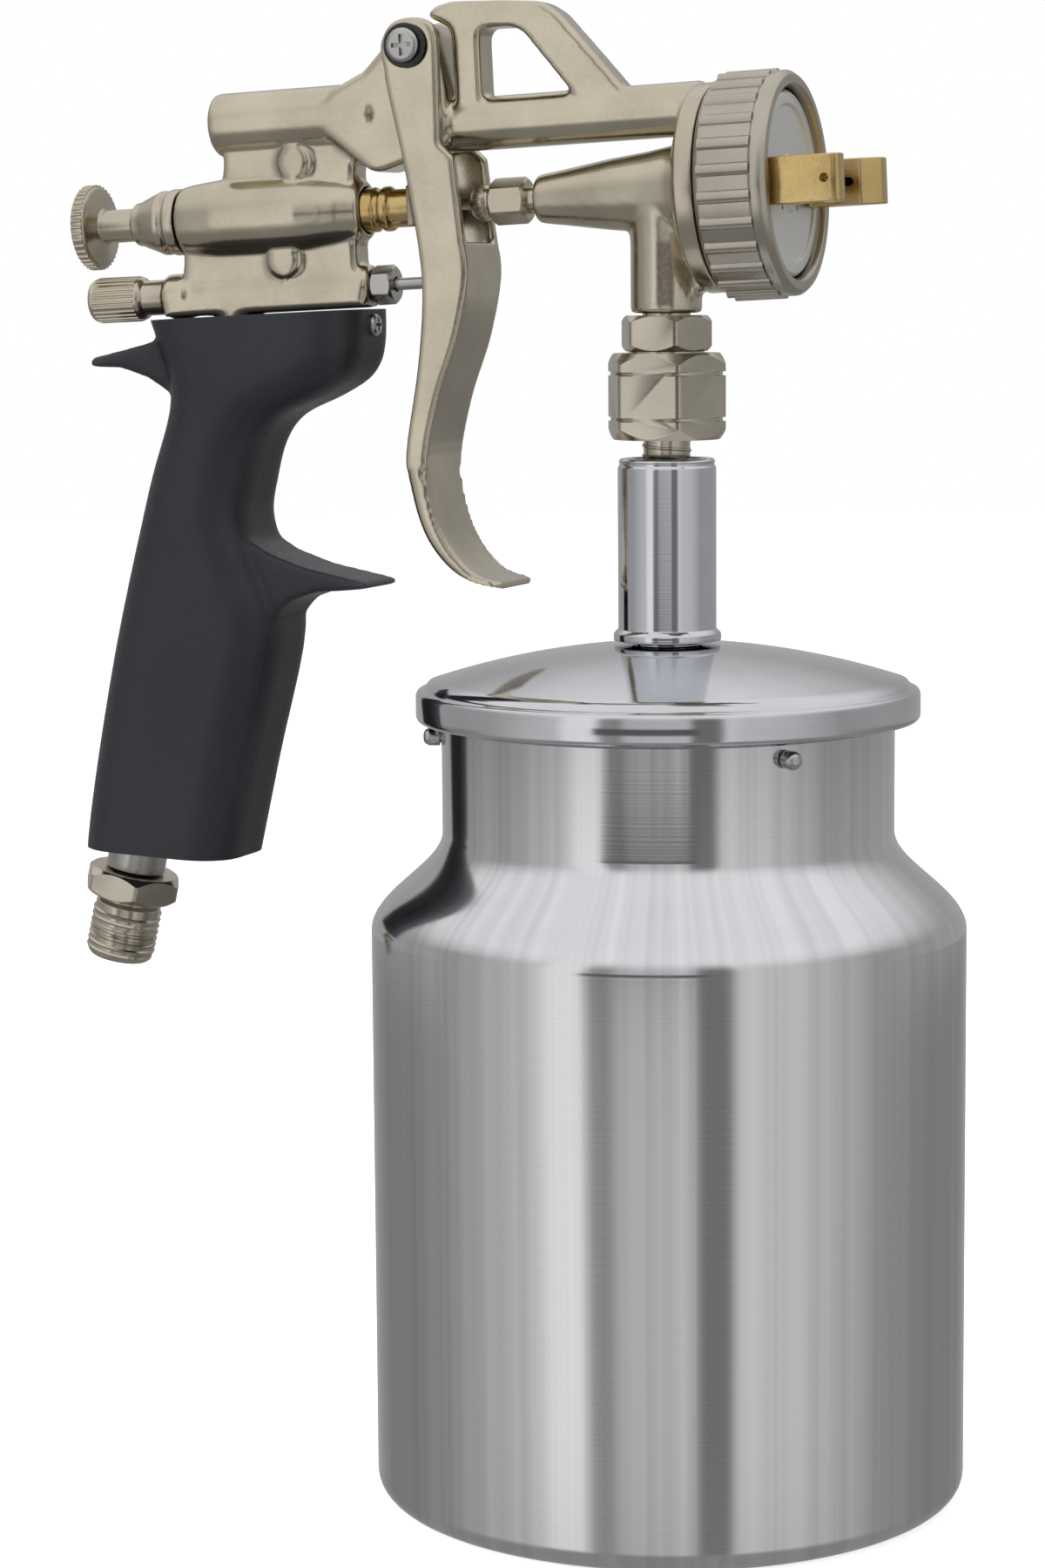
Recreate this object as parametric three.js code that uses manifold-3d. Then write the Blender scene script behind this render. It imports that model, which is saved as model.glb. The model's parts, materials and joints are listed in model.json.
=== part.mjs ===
// HVLP suction-feed spray gun on its paint cup, as an assembly of separate pieces.
// Millimetres, +Z up. The origin is the centre of the cup's base, and the gun points along +X.
// The gun's own group sits at the height of its needle axis and is tipped nose-up by noseUp,
// so inside that group x runs along the barrel and z is measured from the needle axis.

import * as THREE from 'three';
import { mergeVertices } from 'three/addons/utils/BufferGeometryUtils.js';
import Module from 'manifold-3d';

// ---------------------------------------------------------------- driving dimensions

const gap = 0.3; // clearance between neighbouring pieces
const rings = { fine: 32, medium: 18, small: 12, tiny: 8 }; // facets round a turned piece

// Cup
const cupRadius = 52.8;
const cupWall = 1.4;
const cupFloor = 1.8;
const cupCorner = 4;
const bodyHeight = 102; // where the shoulder starts
const shoulderHeight = 17.5;
const neckRadius = 40;
const mouthHeight = 141.2;
const lipStandOut = 1.3;
const lipDepth = 2;
const pinCount = 3;
const pinAngle = -41; // degrees, first pin round +Z
const pinBelowMouth = 5.2;
const pinRadius = 1.6;
const pinStandOut = 3;
const pinShankRadius = 1.1;
const pinHeadRadius = 1.8;
const pinHeadDepth = 0.9;

// Lid
const gasketDepth = 1.5;
const gasketWidth = 4.8;
const lidPinRoom = 1.3; // between the cup's lip and the inside of the lid's skirt
const lidSkirtWall = 1.9;
const lidSkirtDepth = 4.2; // skirt below the gasket seat
const lidWall = 1.6;
const lidRimDepth = 5.2;
const domeRise = 8.4;
const ventRadius = 1;
const ventDistance = 26;

// Stem, pickup tube and union
const stemRadius = 8.65;
const stemCollarRadius = 9.5;
const stemCollarDepth = 1.9;
const stemLength = 32;
const spigotWall = 1.7;
const spigotLength = 9;
const lockNutFlats = 17;
const lockNutDepth = 4.5;
const tubeRadius = 4;
const tubeBore = 3;
const tubeSeatDepth = 20;
const tubeFloorGap = 5;
const tubeTipSlant = 30; // degrees
const tailRadius = 4.4;
const tailBore = 2.6;
const tailShankDepth = 9;
const tailNeckLength = 3.3;
const tailHeadRadius = 6.6;
const tailHeadDepth = 3.2;
const unionFlats = 19;
const unionLipDepth = 4;
const unionLength = 15;
const adapterFlats = 14.6;
const adapterCollarDepth = 6.2;
const adapterSpigotRadius = 4.2;
const adapterSpigotLength = 7.2;

// Gun casting, in the gun's own group
const noseUp = 2.5; // degrees
const stubLength = 21.1; // from the foot of the fluid stub up to the needle axis
const stubWall = 1.75;
const stubTopBelowNeedle = 3;
const fluidPassageRadius = 2;
const headStart = 7;
const headFlangeStandOut = 0.7;
const headFlangeDepth = 3.7;
const headThreadRadius = 17.3;
const headThreadWall = 1;
const headThreadLength = 3.8;
const airTubeHeight = 16.8; // rear top tube above the needle axis
const airTubeRadius = 5.7;
const airTubeRear = -85;
const airTubeFront = -53;
const airPlugRadius = 3.3;
const airPlugDepth = 5;
const airPlugInset = 0.8;
const frontBarrelHeight = 13.8;
const frontBarrelRadius = 4.7;
const frontBarrelRear = -56;
const airBoreRadius = 2.4;
const fluidBellRear = -23.6;
const fluidBellRadii = [4.2, 6.2, 7.6];
const midTubeRear = -92.6;
const midTubeFront = -56.5;
const midTubeWalls = [1.9, 2.9, 2.8, 1.4]; // from rear to front
const carrierBoreRadius = 4.3;
const valveAxis = -13.4; // air valve axis below the needle axis
const valveTubeWall = 1;
const valveTubeRear = -97;
const valveTubeFront = -56;
const valveBoreRadius = 2.9;
const webThickness = 6.4;
const pivotX = -44;
const pivotZ = 27.7;
const lugRadius = 4.4;
const lugHalfWidth = 6.1;
const pivotBoreRadius = 2.3;
const hookWidth = 7;

// Handle
const handleRake = 15.4; // degrees from the gun's vertical
const handleFootX = -110.4; // where the handle's axis meets the grip's foot
const handleFootZ = -116.6;
const socketRadius = 7;
const socketBottom = -27;
const handleTubeRadius = 5.5;
const handleTubeBore = 4;
const handleTubeTop = -20.5;
const handleTubeBelowFoot = 2.6;
const gripWidth = 25;
const gripEdge = 8;
const gripHeelX = -119; // rear long edge at the foot
const gripToeX = -87.4; // front long edge at the foot
const gripRecessX = -98.6; // the finger recess's edge, carried down to the foot
const gripTop = -17.5;
const gripRestWidth = 15;
const gripTangWidth = 14;
const gripFrontX = -57.4;
const gripScrewZ = -20.4;
const gripScrewHead = 2;
const gripScrewHeadDepth = 1.5;
const gripScrewRadius = 1.2;
const gripScrewLength = 20;
const inletFlats = 16.4;
const inletCollarDepth = 5;
const inletNippleRadius = 6.5;
const inletNippleLength = 12;
const inletBoreRadius = 2.8;
const inletSpigotLength = 12;

// Air cap, ring and nozzle
const ringWall = 2;
const ringLength = 13;
const ringLipWidth = 3.3;
const ringLipDepth = 5.6;
const capWall = 2;
const capRecess = 1.2;
const capFlangeDepth = 2;
const capCentreHole = 2.7;
const hornHalfHeight = 4;
const hornLength = 12.6;
const hornInset = 1.2; // from the ring's bore to a horn's outer face
const hornRootThickness = 6.6;
const hornTipThickness = 3.6;
const hornSpigotRadius = 1.8;
const hornJetRadius = 0.8;
const nozzleThreadRadius = 4;
const nozzleHexFlats = 11;
const nozzleTipRadius = 2;
const nozzleJetRadius = 0.9;
const distributorInner = 7.2;
const distributorDepth = 3;
const distributorHoles = 8;

// Needle, air valve and their knobs
const needleRadius = 1;
const carrierRear = -66;
const carrierFront = -46.4;
const springWire = 0.35; // half the wire's thickness
const fluidKnobRadius = 7.8;
const fluidKnobDepth = 3;
const fluidKnobRear = -113;
const fluidKnobNeck = 3;
const fluidShankRadius = 2.4;
const fluidShankFront = -90;
const housingRearRadius = 3.9;
const housingRear = -102.4;
const housingSpigotFront = -86;
const packingNutRear = -36;
const packingNutFlats = 7.4;
const valvePinRadius = 1.1;
const valvePinTip = -37.2;
const valveHeadRadius = 2.4;
const valveHeadFront = -76;
const glandFlats = 6.4;
const glandDepth = 4;
const airKnobRadius = 4.15;
const airKnobRear = -112.2;
const airKnobLength = 10.6;
const airKnobNeck = 3.2;

// Trigger
const forkInner = 6.4;
const forkOuter = 8.6;
const leverWall = 2.3;
const pivotPinRadius = 2;
const bushRadius = 3.1;
const bushFlangeRadius = 3.9;
const bushFlangeDepth = 0.6;
const screwHeadRadius = 3;
const screwHeadDepth = 1;
const screwThreadRadius = 1;

// ---------------------------------------------------------------- sizes worked out from them

const rad = THREE.MathUtils.degToRad;
const lidRadius = neckRadius + lipStandOut + lidPinRoom + lidSkirtWall;
const pinHeight = mouthHeight - pinBelowMouth;
const gasketBottom = mouthHeight + gap;
const gasketTop = gasketBottom + gasketDepth;
const gasketSeat = gasketTop + gap;
const lidSkirtBottom = gasketSeat - lidSkirtDepth;
const lidRimTop = lidSkirtBottom + lidRimDepth;
const domeTop = lidRimTop + domeRise;
const spigotRadius = tubeRadius + gap + spigotWall;
const lidBore = spigotRadius + gap;
const stemBottom = domeTop + gap;
const stemTop = stemBottom + stemLength;
const tubeBottom = cupFloor + tubeFloorGap;
const tubeTop = stemBottom - spigotLength + tubeSeatDepth;
const unionBottom = stemTop + tailNeckLength;
const tailHeadBottom = unionBottom + unionLipDepth + gap;
const tailTop = tailHeadBottom + tailHeadDepth;
const unionTop = unionBottom + unionLength;
const adapterBottom = tailTop + gap;
const adapterShoulder = unionTop + gap;
const adapterTop = adapterShoulder + adapterCollarDepth;
const stubBottom = -stubLength;
const stubRadius = adapterSpigotRadius + gap + stubWall;
const needleHeight = adapterTop + gap + stubLength; // needle axis above the base, on the cup's axis
const headFace = headStart + headFlangeDepth;
const headFlangeRadius = headThreadRadius + headFlangeStandOut;
const threadBore = headThreadRadius - headThreadWall;
const ringRear = headFace + gap;
const ringFront = ringRear + ringLength;
const ringBore = headThreadRadius + gap;
const ringRadius = ringBore + ringWall;
const ringLipBore = ringRadius - ringLipWidth;
const ringLipRear = ringFront - ringLipDepth;
const capFront = ringFront - capRecess;
const capFlangeFront = ringLipRear - gap;
const capFlangeRear = capFlangeFront - capFlangeDepth;
const capRadius = ringLipBore - gap;
const hornOuter = ringLipBore - hornInset;
const hornInnerRoot = hornOuter - hornRootThickness;
const hornInnerTip = hornOuter - hornTipThickness;
const midTubeRadii = midTubeWalls.map((wall) => carrierBoreRadius + wall);
const carrierRadius = carrierBoreRadius - gap;
const valveTubeRadius = valveBoreRadius + valveTubeWall;
const handleTilt = rad(handleRake);
const foot = new THREE.Vector3(handleFootX, 0, handleFootZ);

// ---------------------------------------------------------------- solids

const wasm = await Module();
wasm.setup();

// A closed three.js geometry as a solid, with slivers dropped and its faces turned outwards.
function solid(geometry) {
  const bare = geometry.index ? geometry.clone() : mergeVertices(geometry.clone());
  bare.deleteAttribute('normal');
  bare.deleteAttribute('uv');
  const merged = mergeVertices(bare, 1e-4);
  const points = merged.attributes.position;
  const corners = [];
  let volume = 0;
  const [a, b, c] = [new THREE.Vector3(), new THREE.Vector3(), new THREE.Vector3()];
  for (let i = 0; i < merged.index.count; i += 3) {
    const three = [0, 1, 2].map((k) => merged.index.getX(i + k));
    if (new Set(three).size < 3) continue;
    corners.push(...three);
    [a, b, c].forEach((v, k) => v.fromBufferAttribute(points, three[k]));
    volume += a.dot(b.cross(c));
  }
  if (volume < 0) corners.reverse();
  return new wasm.Manifold(new wasm.Mesh({
    numProp: 3,
    vertProperties: new Float32Array(points.array),
    triVerts: new Uint32Array(corners),
  }));
}

function joined(first, ...rest) {
  return rest.reduce((sum, piece) => sum.add(piece), first);
}

function cutBy(body, ...tools) {
  return tools.reduce((left, tool) => left.subtract(tool), body);
}

// A named mesh from a solid, in its group.
function place(group, name, body, colour, metalness, roughness) {
  const made = body.getMesh();
  const geometry = new THREE.BufferGeometry();
  geometry.setAttribute('position', new THREE.BufferAttribute(made.vertProperties, 3));
  geometry.setIndex(new THREE.BufferAttribute(made.triVerts, 1));
  geometry.computeVertexNormals();
  const material = new THREE.MeshStandardMaterial({ color: colour, metalness, roughness });
  const mesh = new THREE.Mesh(geometry, material);
  mesh.name = name;
  group.add(mesh);
  return mesh;
}

// Turned geometry about +Z from [radius, height] points that go round the section once.
function turned(profile, facets) {
  const points = profile.map(([r, h]) => new THREE.Vector2(r, h));
  if (profile[0][0] > 0 || profile.at(-1)[0] > 0) points.push(points[0].clone());
  return new THREE.LatheGeometry(points, facets).rotateX(Math.PI / 2);
}

// The same about +X, from [radius, x] points.
function turnedX(profile, facets) {
  return turned(profile, facets).rotateY(Math.PI / 2);
}

function rod(radius, from, to, facets) {
  return turned([[0, from], [radius, from], [radius, to], [0, to]], facets);
}

function rodX(radius, from, to, facets) {
  return rod(radius, from, to, facets).rotateY(Math.PI / 2);
}

function rodY(radius, from, to, facets) {
  return rod(radius, from, to, facets).rotateX(-Math.PI / 2);
}

function tube(outer, inner, from, to, facets) {
  return turned([[inner, from], [outer, from], [outer, to], [inner, to]], facets);
}

function tubeX(outer, inner, from, to, facets) {
  return tube(outer, inner, from, to, facets).rotateY(Math.PI / 2);
}

function shapeOf(points) {
  return new THREE.Shape(points.map(([x, z]) => new THREE.Vector2(x, z)));
}

// Carries an outline on through [x, z] points in one smooth curve.
function curveThrough(path, points) {
  path.splineThru(points.map(([x, z]) => new THREE.Vector2(x, z)));
}

// A side view in the X-Z plane, given its width across Y.
function slab(shape, width, curveSegments = 4) {
  const options = { depth: width, bevelEnabled: false, curveSegments };
  return new THREE.ExtrudeGeometry(shape, options).rotateX(Math.PI / 2).translate(0, width / 2, 0);
}

function box(low, high) {
  const size = high.map((value, i) => value - low[i]);
  const centre = high.map((value, i) => (value + low[i]) / 2);
  return new THREE.BoxGeometry(...size).translate(...centre);
}

// A hexagonal prism about +Z with both ends chamfered.
function hexagon(flats, from, to, chamfer) {
  const corner = flats / Math.sqrt(3);
  const prism = rod(corner, from, to, 6);
  const round = [
    [0, from],
    [flats / 2, from],
    [corner, from + chamfer],
    [corner, to - chamfer],
    [flats / 2, to],
    [0, to],
  ];
  return solid(prism).intersect(solid(turned(round, rings.medium)));
}

function hexagonX(flats, from, to, chamfer) {
  return hexagon(flats, from, to, chamfer).rotate([0, 90, 0]);
}

// A close-wound wire spring along +X.
function spring(radius, from, to, turns) {
  const stepsPerTurn = 8;
  const points = [];
  for (let i = 0; i <= turns * stepsPerTurn; i += 1) {
    const share = i / (turns * stepsPerTurn);
    const turn = share * turns * 2 * Math.PI;
    const x = THREE.MathUtils.lerp(from, to, share);
    points.push(new THREE.Vector3(x, radius * Math.cos(turn), radius * Math.sin(turn)));
  }
  const section = new THREE.Shape();
  section.absarc(0, 0, springWire, 0, 2 * Math.PI);
  return new THREE.ExtrudeGeometry(section, {
    steps: turns * stepsPerTurn,
    curveSegments: 2,
    bevelEnabled: false,
    extrudePath: new THREE.CatmullRomCurve3(points),
  });
}

// ---------------------------------------------------------------- cup

function shoulderRadius(share) {
  return THREE.MathUtils.lerp(neckRadius, cupRadius, (1 + Math.cos(Math.PI * share)) / 2);
}

function cupBody() {
  const outer = [[0, 0], [cupRadius - cupCorner, 0]];
  for (const turn of [30, 60, 90]) {
    const across = cupRadius - cupCorner + cupCorner * Math.sin(rad(turn));
    outer.push([across, cupCorner - cupCorner * Math.cos(rad(turn))]);
  }
  const inner = [];
  const shoulderSteps = 7;
  for (let i = 0; i <= shoulderSteps; i += 1) {
    const share = i / shoulderSteps;
    const height = bodyHeight + shoulderHeight * share;
    outer.push([shoulderRadius(share), height]);
    inner.unshift([shoulderRadius(share) - cupWall, height - cupWall * Math.sin(Math.PI * share) / 2]);
  }
  const mouthBore = neckRadius - cupWall;
  const lip = neckRadius + lipStandOut;
  outer.push([neckRadius, mouthHeight - lipDepth - lipStandOut / 2], [lip, mouthHeight - lipDepth]);
  outer.push([lip, mouthHeight - lipStandOut / 2], [neckRadius + lipStandOut / 2, mouthHeight]);
  inner.unshift([mouthBore, mouthHeight]);
  const insideRadius = cupRadius - cupWall;
  inner.push([insideRadius, cupCorner], [insideRadius - cupCorner / 2, cupFloor], [0, cupFloor]);
  const shell = solid(turned([...outer, ...inner], rings.fine));
  const holes = pinTurns().map((turn) => {
    const hole = rodX(pinShankRadius + gap, neckRadius - 2 * cupWall, neckRadius + cupWall, rings.tiny);
    return solid(hole.translate(0, 0, pinHeight).rotateZ(turn));
  });
  return cutBy(shell, ...holes);
}

function pinTurns() {
  return Array.from({ length: pinCount }, (_, i) => rad(pinAngle + (360 / pinCount) * i));
}

// A riveted bayonet pin: a head inside the neck, a shank through it and a domed peg outside.
function cupPin(turn) {
  const headFront = neckRadius - cupWall - gap;
  const pegRear = neckRadius + gap;
  const pegFront = pegRear + pinStandOut;
  const profile = [
    [0, headFront - pinHeadDepth],
    [pinHeadRadius, headFront - pinHeadDepth],
    [pinHeadRadius, headFront],
    [pinShankRadius, headFront],
    [pinShankRadius, pegRear],
    [pinRadius, pegRear],
    [pinRadius, pegFront - pinRadius * 0.6],
    [pinRadius * 0.7, pegFront - pinRadius * 0.15],
    [0, pegFront],
  ];
  return solid(turnedX(profile, rings.tiny).translate(0, 0, pinHeight).rotateZ(turn));
}

// ---------------------------------------------------------------- lid, stem and pickup tube

function domeHeight(radius, top) {
  return top - domeRise * 0.9 * (radius / lidRadius) ** 2;
}

function lidShell() {
  const seatInner = neckRadius + lipStandOut - gasketWidth;
  const skirtInner = lidRadius - lidSkirtWall;
  const outer = [];
  const inner = [];
  const steps = 6;
  for (let i = 0; i <= steps; i += 1) {
    const outerRadius = THREE.MathUtils.lerp(lidBore, lidRadius - 1.6, i / steps);
    const innerRadius = THREE.MathUtils.lerp(seatInner, lidBore, i / steps);
    outer.push([outerRadius, domeHeight(outerRadius, domeTop)]);
    inner.push([innerRadius, domeHeight(innerRadius, domeTop) - lidWall]);
  }
  const rim = [
    [lidRadius - 0.4, lidRimTop + 0.3],
    [lidRadius, lidRimTop - 0.5],
    [lidRadius, lidSkirtBottom + 0.6],
    [lidRadius - 0.6, lidSkirtBottom],
    [skirtInner, lidSkirtBottom],
    [skirtInner, gasketSeat],
    [seatInner, gasketSeat],
  ];
  const shell = solid(turned([...outer, ...rim, ...inner], rings.fine));
  return cutBy(shell, solid(rod(ventRadius, gasketSeat, domeTop, rings.tiny).translate(0, ventDistance, 0)));
}

function stem() {
  const top = stemTop;
  const tailSeat = tailRadius + gap;
  const profile = [
    [tubeRadius + gap, stemBottom - spigotLength],
    [spigotRadius, stemBottom - spigotLength],
    [spigotRadius, stemBottom],
    [stemCollarRadius, stemBottom],
    [stemCollarRadius, stemBottom + stemCollarDepth * 0.7],
    [stemRadius, stemBottom + stemCollarDepth],
    [stemRadius, top - 1],
    [stemRadius - 1, top],
    [stemRadius - 1.9, top],
    [stemRadius - 2.2, top - 1.4],
    [tailSeat, top - 1.4],
    [tailSeat, top - 1.4 - tailShankDepth],
    [tubeBore, top - 1.4 - tailShankDepth],
    [tubeBore, tubeTop + gap],
    [tubeRadius + gap, tubeTop + gap],
  ];
  return solid(turned(profile, rings.medium));
}

function stemLockNut() {
  const top = domeHeight(lockNutFlats / 2, domeTop) - lidWall - 2 * gap;
  const nut = hexagon(lockNutFlats, top - lockNutDepth, top, 0.8);
  return cutBy(nut, solid(rod(lidBore, top - lockNutDepth - 1, top + 1, rings.small)));
}

function pickupTube() {
  const body = solid(tube(tubeRadius, tubeBore, tubeBottom, tubeTop, rings.small));
  const reach = 4 * tubeRadius;
  const knife = box([-reach, -reach, -reach], [reach, reach, 0]).rotateY(rad(tubeTipSlant));
  return cutBy(body, solid(knife.translate(0, 0, tubeBottom + tubeRadius * Math.tan(rad(tubeTipSlant)))));
}

function cupTailpiece() {
  const profile = [
    [tailBore, stemTop - 1.1 - tailShankDepth],
    [tailRadius, stemTop - 1.1 - tailShankDepth],
    [tailRadius, tailHeadBottom],
    [tailHeadRadius, tailHeadBottom],
    [tailHeadRadius, tailTop],
    [tailBore, tailTop],
  ];
  return solid(turned(profile, rings.small));
}

function unionNut() {
  const nut = hexagon(unionFlats, unionBottom, unionTop, 1.5);
  const socket = rod(tailHeadRadius + gap, unionBottom + unionLipDepth, unionTop + 1, rings.medium);
  const hole = rod(tailRadius + gap, unionBottom - 1, unionTop, rings.small);
  return cutBy(nut, solid(socket), solid(hole));
}

function inletAdapter() {
  const collar = hexagon(adapterFlats, adapterShoulder, adapterTop, 0.8);
  const thread = rod(tailHeadRadius, adapterBottom, adapterShoulder + 1, rings.medium);
  const spigot = rod(adapterSpigotRadius, adapterTop - 1, adapterTop + adapterSpigotLength, rings.small);
  const bore = rod(tailBore, adapterBottom - 1, adapterTop + adapterSpigotLength + 1, rings.small);
  return cutBy(joined(collar, solid(thread), solid(spigot)), solid(bore));
}

// ---------------------------------------------------------------- gun casting

// Upright geometry on the cup's axis, turned into the gun's tipped group.
function upright(geometry) {
  return geometry.rotateY(rad(noseUp));
}

// Geometry about +Z turned onto the handle's raked axis, with z = 0 at the grip's foot.
function raked(geometry) {
  return geometry.rotateY(handleTilt).translate(foot.x, foot.y, foot.z);
}

function alongHandle(height) {
  return (height - foot.z) / Math.cos(handleTilt);
}

function hangingHook() {
  const outline = shapeOf([
    [-41.9, 33.3], [-37.2, 35.2], [-20.5, 34], [-18.2, 32.6], [-4.2, 16], [-13, 16],
    [-24.3, 29.6], [-32, 30.2], [-32, 16], [-37.4, 16], [-37.6, 30.6],
  ]);
  return solid(slab(outline, hookWidth));
}

function pivotLug() {
  const ramp = shapeOf([
    [-63, 18], [-58, 22.2], [-53, 24.6], [pivotX - lugRadius, pivotZ + 1.4], [pivotX, pivotZ + lugRadius],
    [pivotX + lugRadius * 0.9, pivotZ + 2], [-38.6, 18], [-38.6, 10], [-53, 6],
  ]);
  const boss = rodY(lugRadius, -lugHalfWidth, lugHalfWidth, rings.small).translate(pivotX, 0, pivotZ);
  return [solid(slab(ramp, 2 * (lugHalfWidth - 0.8))), solid(boss)];
}

function tubeWebs() {
  const upper = shapeOf([[-84, 4], [-58, 4], [-56.5, 14], [-83, 14]]);
  const lower = shapeOf([[-92, -4], [-58, -4], [-58, valveAxis], [-93, valveAxis]]);
  const saddle = shapeOf([
    [valveTubeRear + 0.2, valveAxis],
    [valveTubeFront - 0.6, valveAxis],
    [valveTubeFront - 0.6, gripTop + gap],
    [valveTubeRear + 0.2, gripTop + gap],
  ]);
  return [
    solid(slab(upper, webThickness)),
    solid(slab(lower, webThickness)),
    solid(slab(saddle, 2 * valveTubeRadius)),
    solid(rodY(3.1, -4.4, 4.4, rings.small).translate(-69, 0, 9.2)),
    solid(rodY(3.1, -4.4, 4.4, rings.small).translate(-72, 0, -8)),
  ];
}

function fluidBell() {
  const span = headStart - fluidBellRear;
  const profile = [
    [0, fluidBellRear],
    [fluidBellRadii[0], fluidBellRear],
    [fluidBellRadii[1], fluidBellRear + span * 0.45],
    [fluidBellRadii[2], fluidBellRear + span * 0.8],
    [fluidBellRadii[2] + 2, headStart + 1],
    [0, headStart + 1],
  ];
  return solid(turnedX(profile, rings.medium));
}

function stubWithGusset() {
  const stub = upright(rod(stubRadius, stubBottom, -stubTopBelowNeedle, rings.medium));
  const gusset = shapeOf([
    [1, -18.4], [6.5, -18.6], [headStart + 1, -17.2], [headStart + 1, -4], [1, -4],
  ]);
  return [solid(stub), solid(slab(gusset, webThickness))];
}

function midTube() {
  const span = midTubeFront - midTubeRear;
  const at = (share) => midTubeRear + span * share;
  const profile = [
    [0, at(0)],
    [midTubeRadii[0], at(0)],
    [midTubeRadii[1], at(0.2)],
    [midTubeRadii[2], at(0.6)],
    [midTubeRadii[3], at(0.95)],
    [midTubeRadii[3] - 0.6, at(1)],
    [0, at(1)],
  ];
  return solid(turnedX(profile, rings.medium));
}

function gunHead() {
  const flange = rodX(headFlangeRadius, headStart, headFace, rings.fine);
  const threadFront = headFace + headThreadLength;
  const thread = tubeX(headThreadRadius, threadBore, headFace - 0.5, threadFront, rings.fine);
  return [solid(flange), solid(thread)];
}

// The raked socket that the grip slides over, with a slimmer neck up into the air valve tube.
function handleSocket() {
  const shellTop = alongHandle(valveAxis - 1);
  const shell = raked(rod(socketRadius, alongHandle(socketBottom), shellTop, rings.medium));
  const room = box([-120, -socketRadius, gripTop + gap], [-40, socketRadius, valveAxis + 8]);
  const neck = raked(rod(valveTubeRadius, alongHandle(gripTop) - 2, alongHandle(valveAxis), rings.small));
  return joined(solid(shell).subtract(solid(room)), solid(neck));
}

function gunBody() {
  const airTube = rodX(airTubeRadius, airTubeRear, airTubeFront, rings.medium);
  const frontBarrel = rodX(frontBarrelRadius, frontBarrelRear, headStart + 1, rings.medium);
  const valveTube = rodX(valveTubeRadius, valveTubeRear, valveTubeFront, rings.medium);
  const body = joined(
    solid(airTube.translate(0, 0, airTubeHeight)),
    solid(frontBarrel.translate(0, 0, frontBarrelHeight)),
    solid(valveTube.translate(0, 0, valveAxis)),
    midTube(),
    fluidBell(),
    hangingHook(),
    handleSocket(),
    ...pivotLug(),
    ...tubeWebs(),
    ...stubWithGusset(),
    ...gunHead(),
  );
  return cutBy(body, ...gunBores());
}

function gunBores() {
  const out = 2; // how far a cutting tool runs past a face
  const airBore = rodX(airBoreRadius, airTubeRear + 2 * airPlugDepth, headFace + out, rings.small);
  const plugBore = rodX(airPlugRadius + gap, airTubeRear - out, airTubeRear + 2 * airPlugDepth, rings.small);
  const fluidBore = rodX(fluidPassageRadius + 0.6, fluidBellRear + 8, headFace, rings.small);
  const packingBore = rodX(packingNutFlats / 2 - 1, fluidBellRear - out, fluidBellRear + 8.1, rings.small);
  const nozzleBore = rodX(nozzleThreadRadius + gap, headFace - 6.4, headFace + out, rings.small);
  const spigotTop = stubBottom + adapterSpigotLength + 2 * gap;
  const adapterBore = rod(adapterSpigotRadius + gap, stubBottom - out, spigotTop, rings.small);
  const carrierBore = rodX(carrierBoreRadius, midTubeRear - out, midTubeFront + out, rings.small);
  const valveBore = rodX(valveBoreRadius, valveTubeRear - out, valveTubeFront + out, rings.small);
  const tubeRoomTop = alongHandle(handleTubeTop) + gap;
  const tubeSocket = rod(handleTubeRadius + gap, alongHandle(socketBottom) - 9, tubeRoomTop, rings.small);
  const airRise = rod(airBoreRadius, alongHandle(handleTubeTop) - 1, alongHandle(valveAxis), rings.small);
  return [
    solid(airBore.translate(0, 0, frontBarrelHeight)),
    solid(plugBore.translate(0, 0, airTubeHeight)),
    solid(fluidBore),
    solid(packingBore),
    solid(nozzleBore),
    solid(upright(adapterBore)),
    solid(upright(rod(fluidPassageRadius, stubBottom, 0, rings.small))),
    solid(carrierBore),
    solid(valveBore.translate(0, 0, valveAxis)),
    solid(raked(tubeSocket)),
    solid(raked(airRise)),
    solid(rodY(pivotBoreRadius, -20, 20, rings.small).translate(pivotX, 0, pivotZ)),
    gripScrewHole(),
  ];
}

// ---------------------------------------------------------------- handle

function gripOutline() {
  const outline = new THREE.Shape();
  outline.moveTo(-98.2, gripTop);
  outline.lineTo(-94.8, -31);
  curveThrough(outline, [[-100.4, -48], [-109.2, -77], [-116.4, -107]]);
  outline.lineTo(-117.2, -113.8);
  outline.lineTo(-87.6, -116.6);
  outline.lineTo(-75.8, -74.2);
  curveThrough(outline, [[-81.4, -54], [-78.8, -42], [-74.6, -36]]);
  curveThrough(outline, [[-65, -32.6], [-59.4, -29.6], [gripFrontX, -23.5]]);
  outline.lineTo(gripFrontX, gripTop);
  return outline;
}

// Cuts a chamfer along one long edge of the grip, parallel to the handle's axis.
function gripEdgeKnife(footX, side, from, to) {
  const half = gripEdge / Math.SQRT2;
  const knife = box([-half, -half, from], [half, half, to]).rotateZ(Math.PI / 4).rotateY(handleTilt);
  return solid(knife.translate(footX, (side * gripWidth) / 2, foot.z));
}

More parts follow.
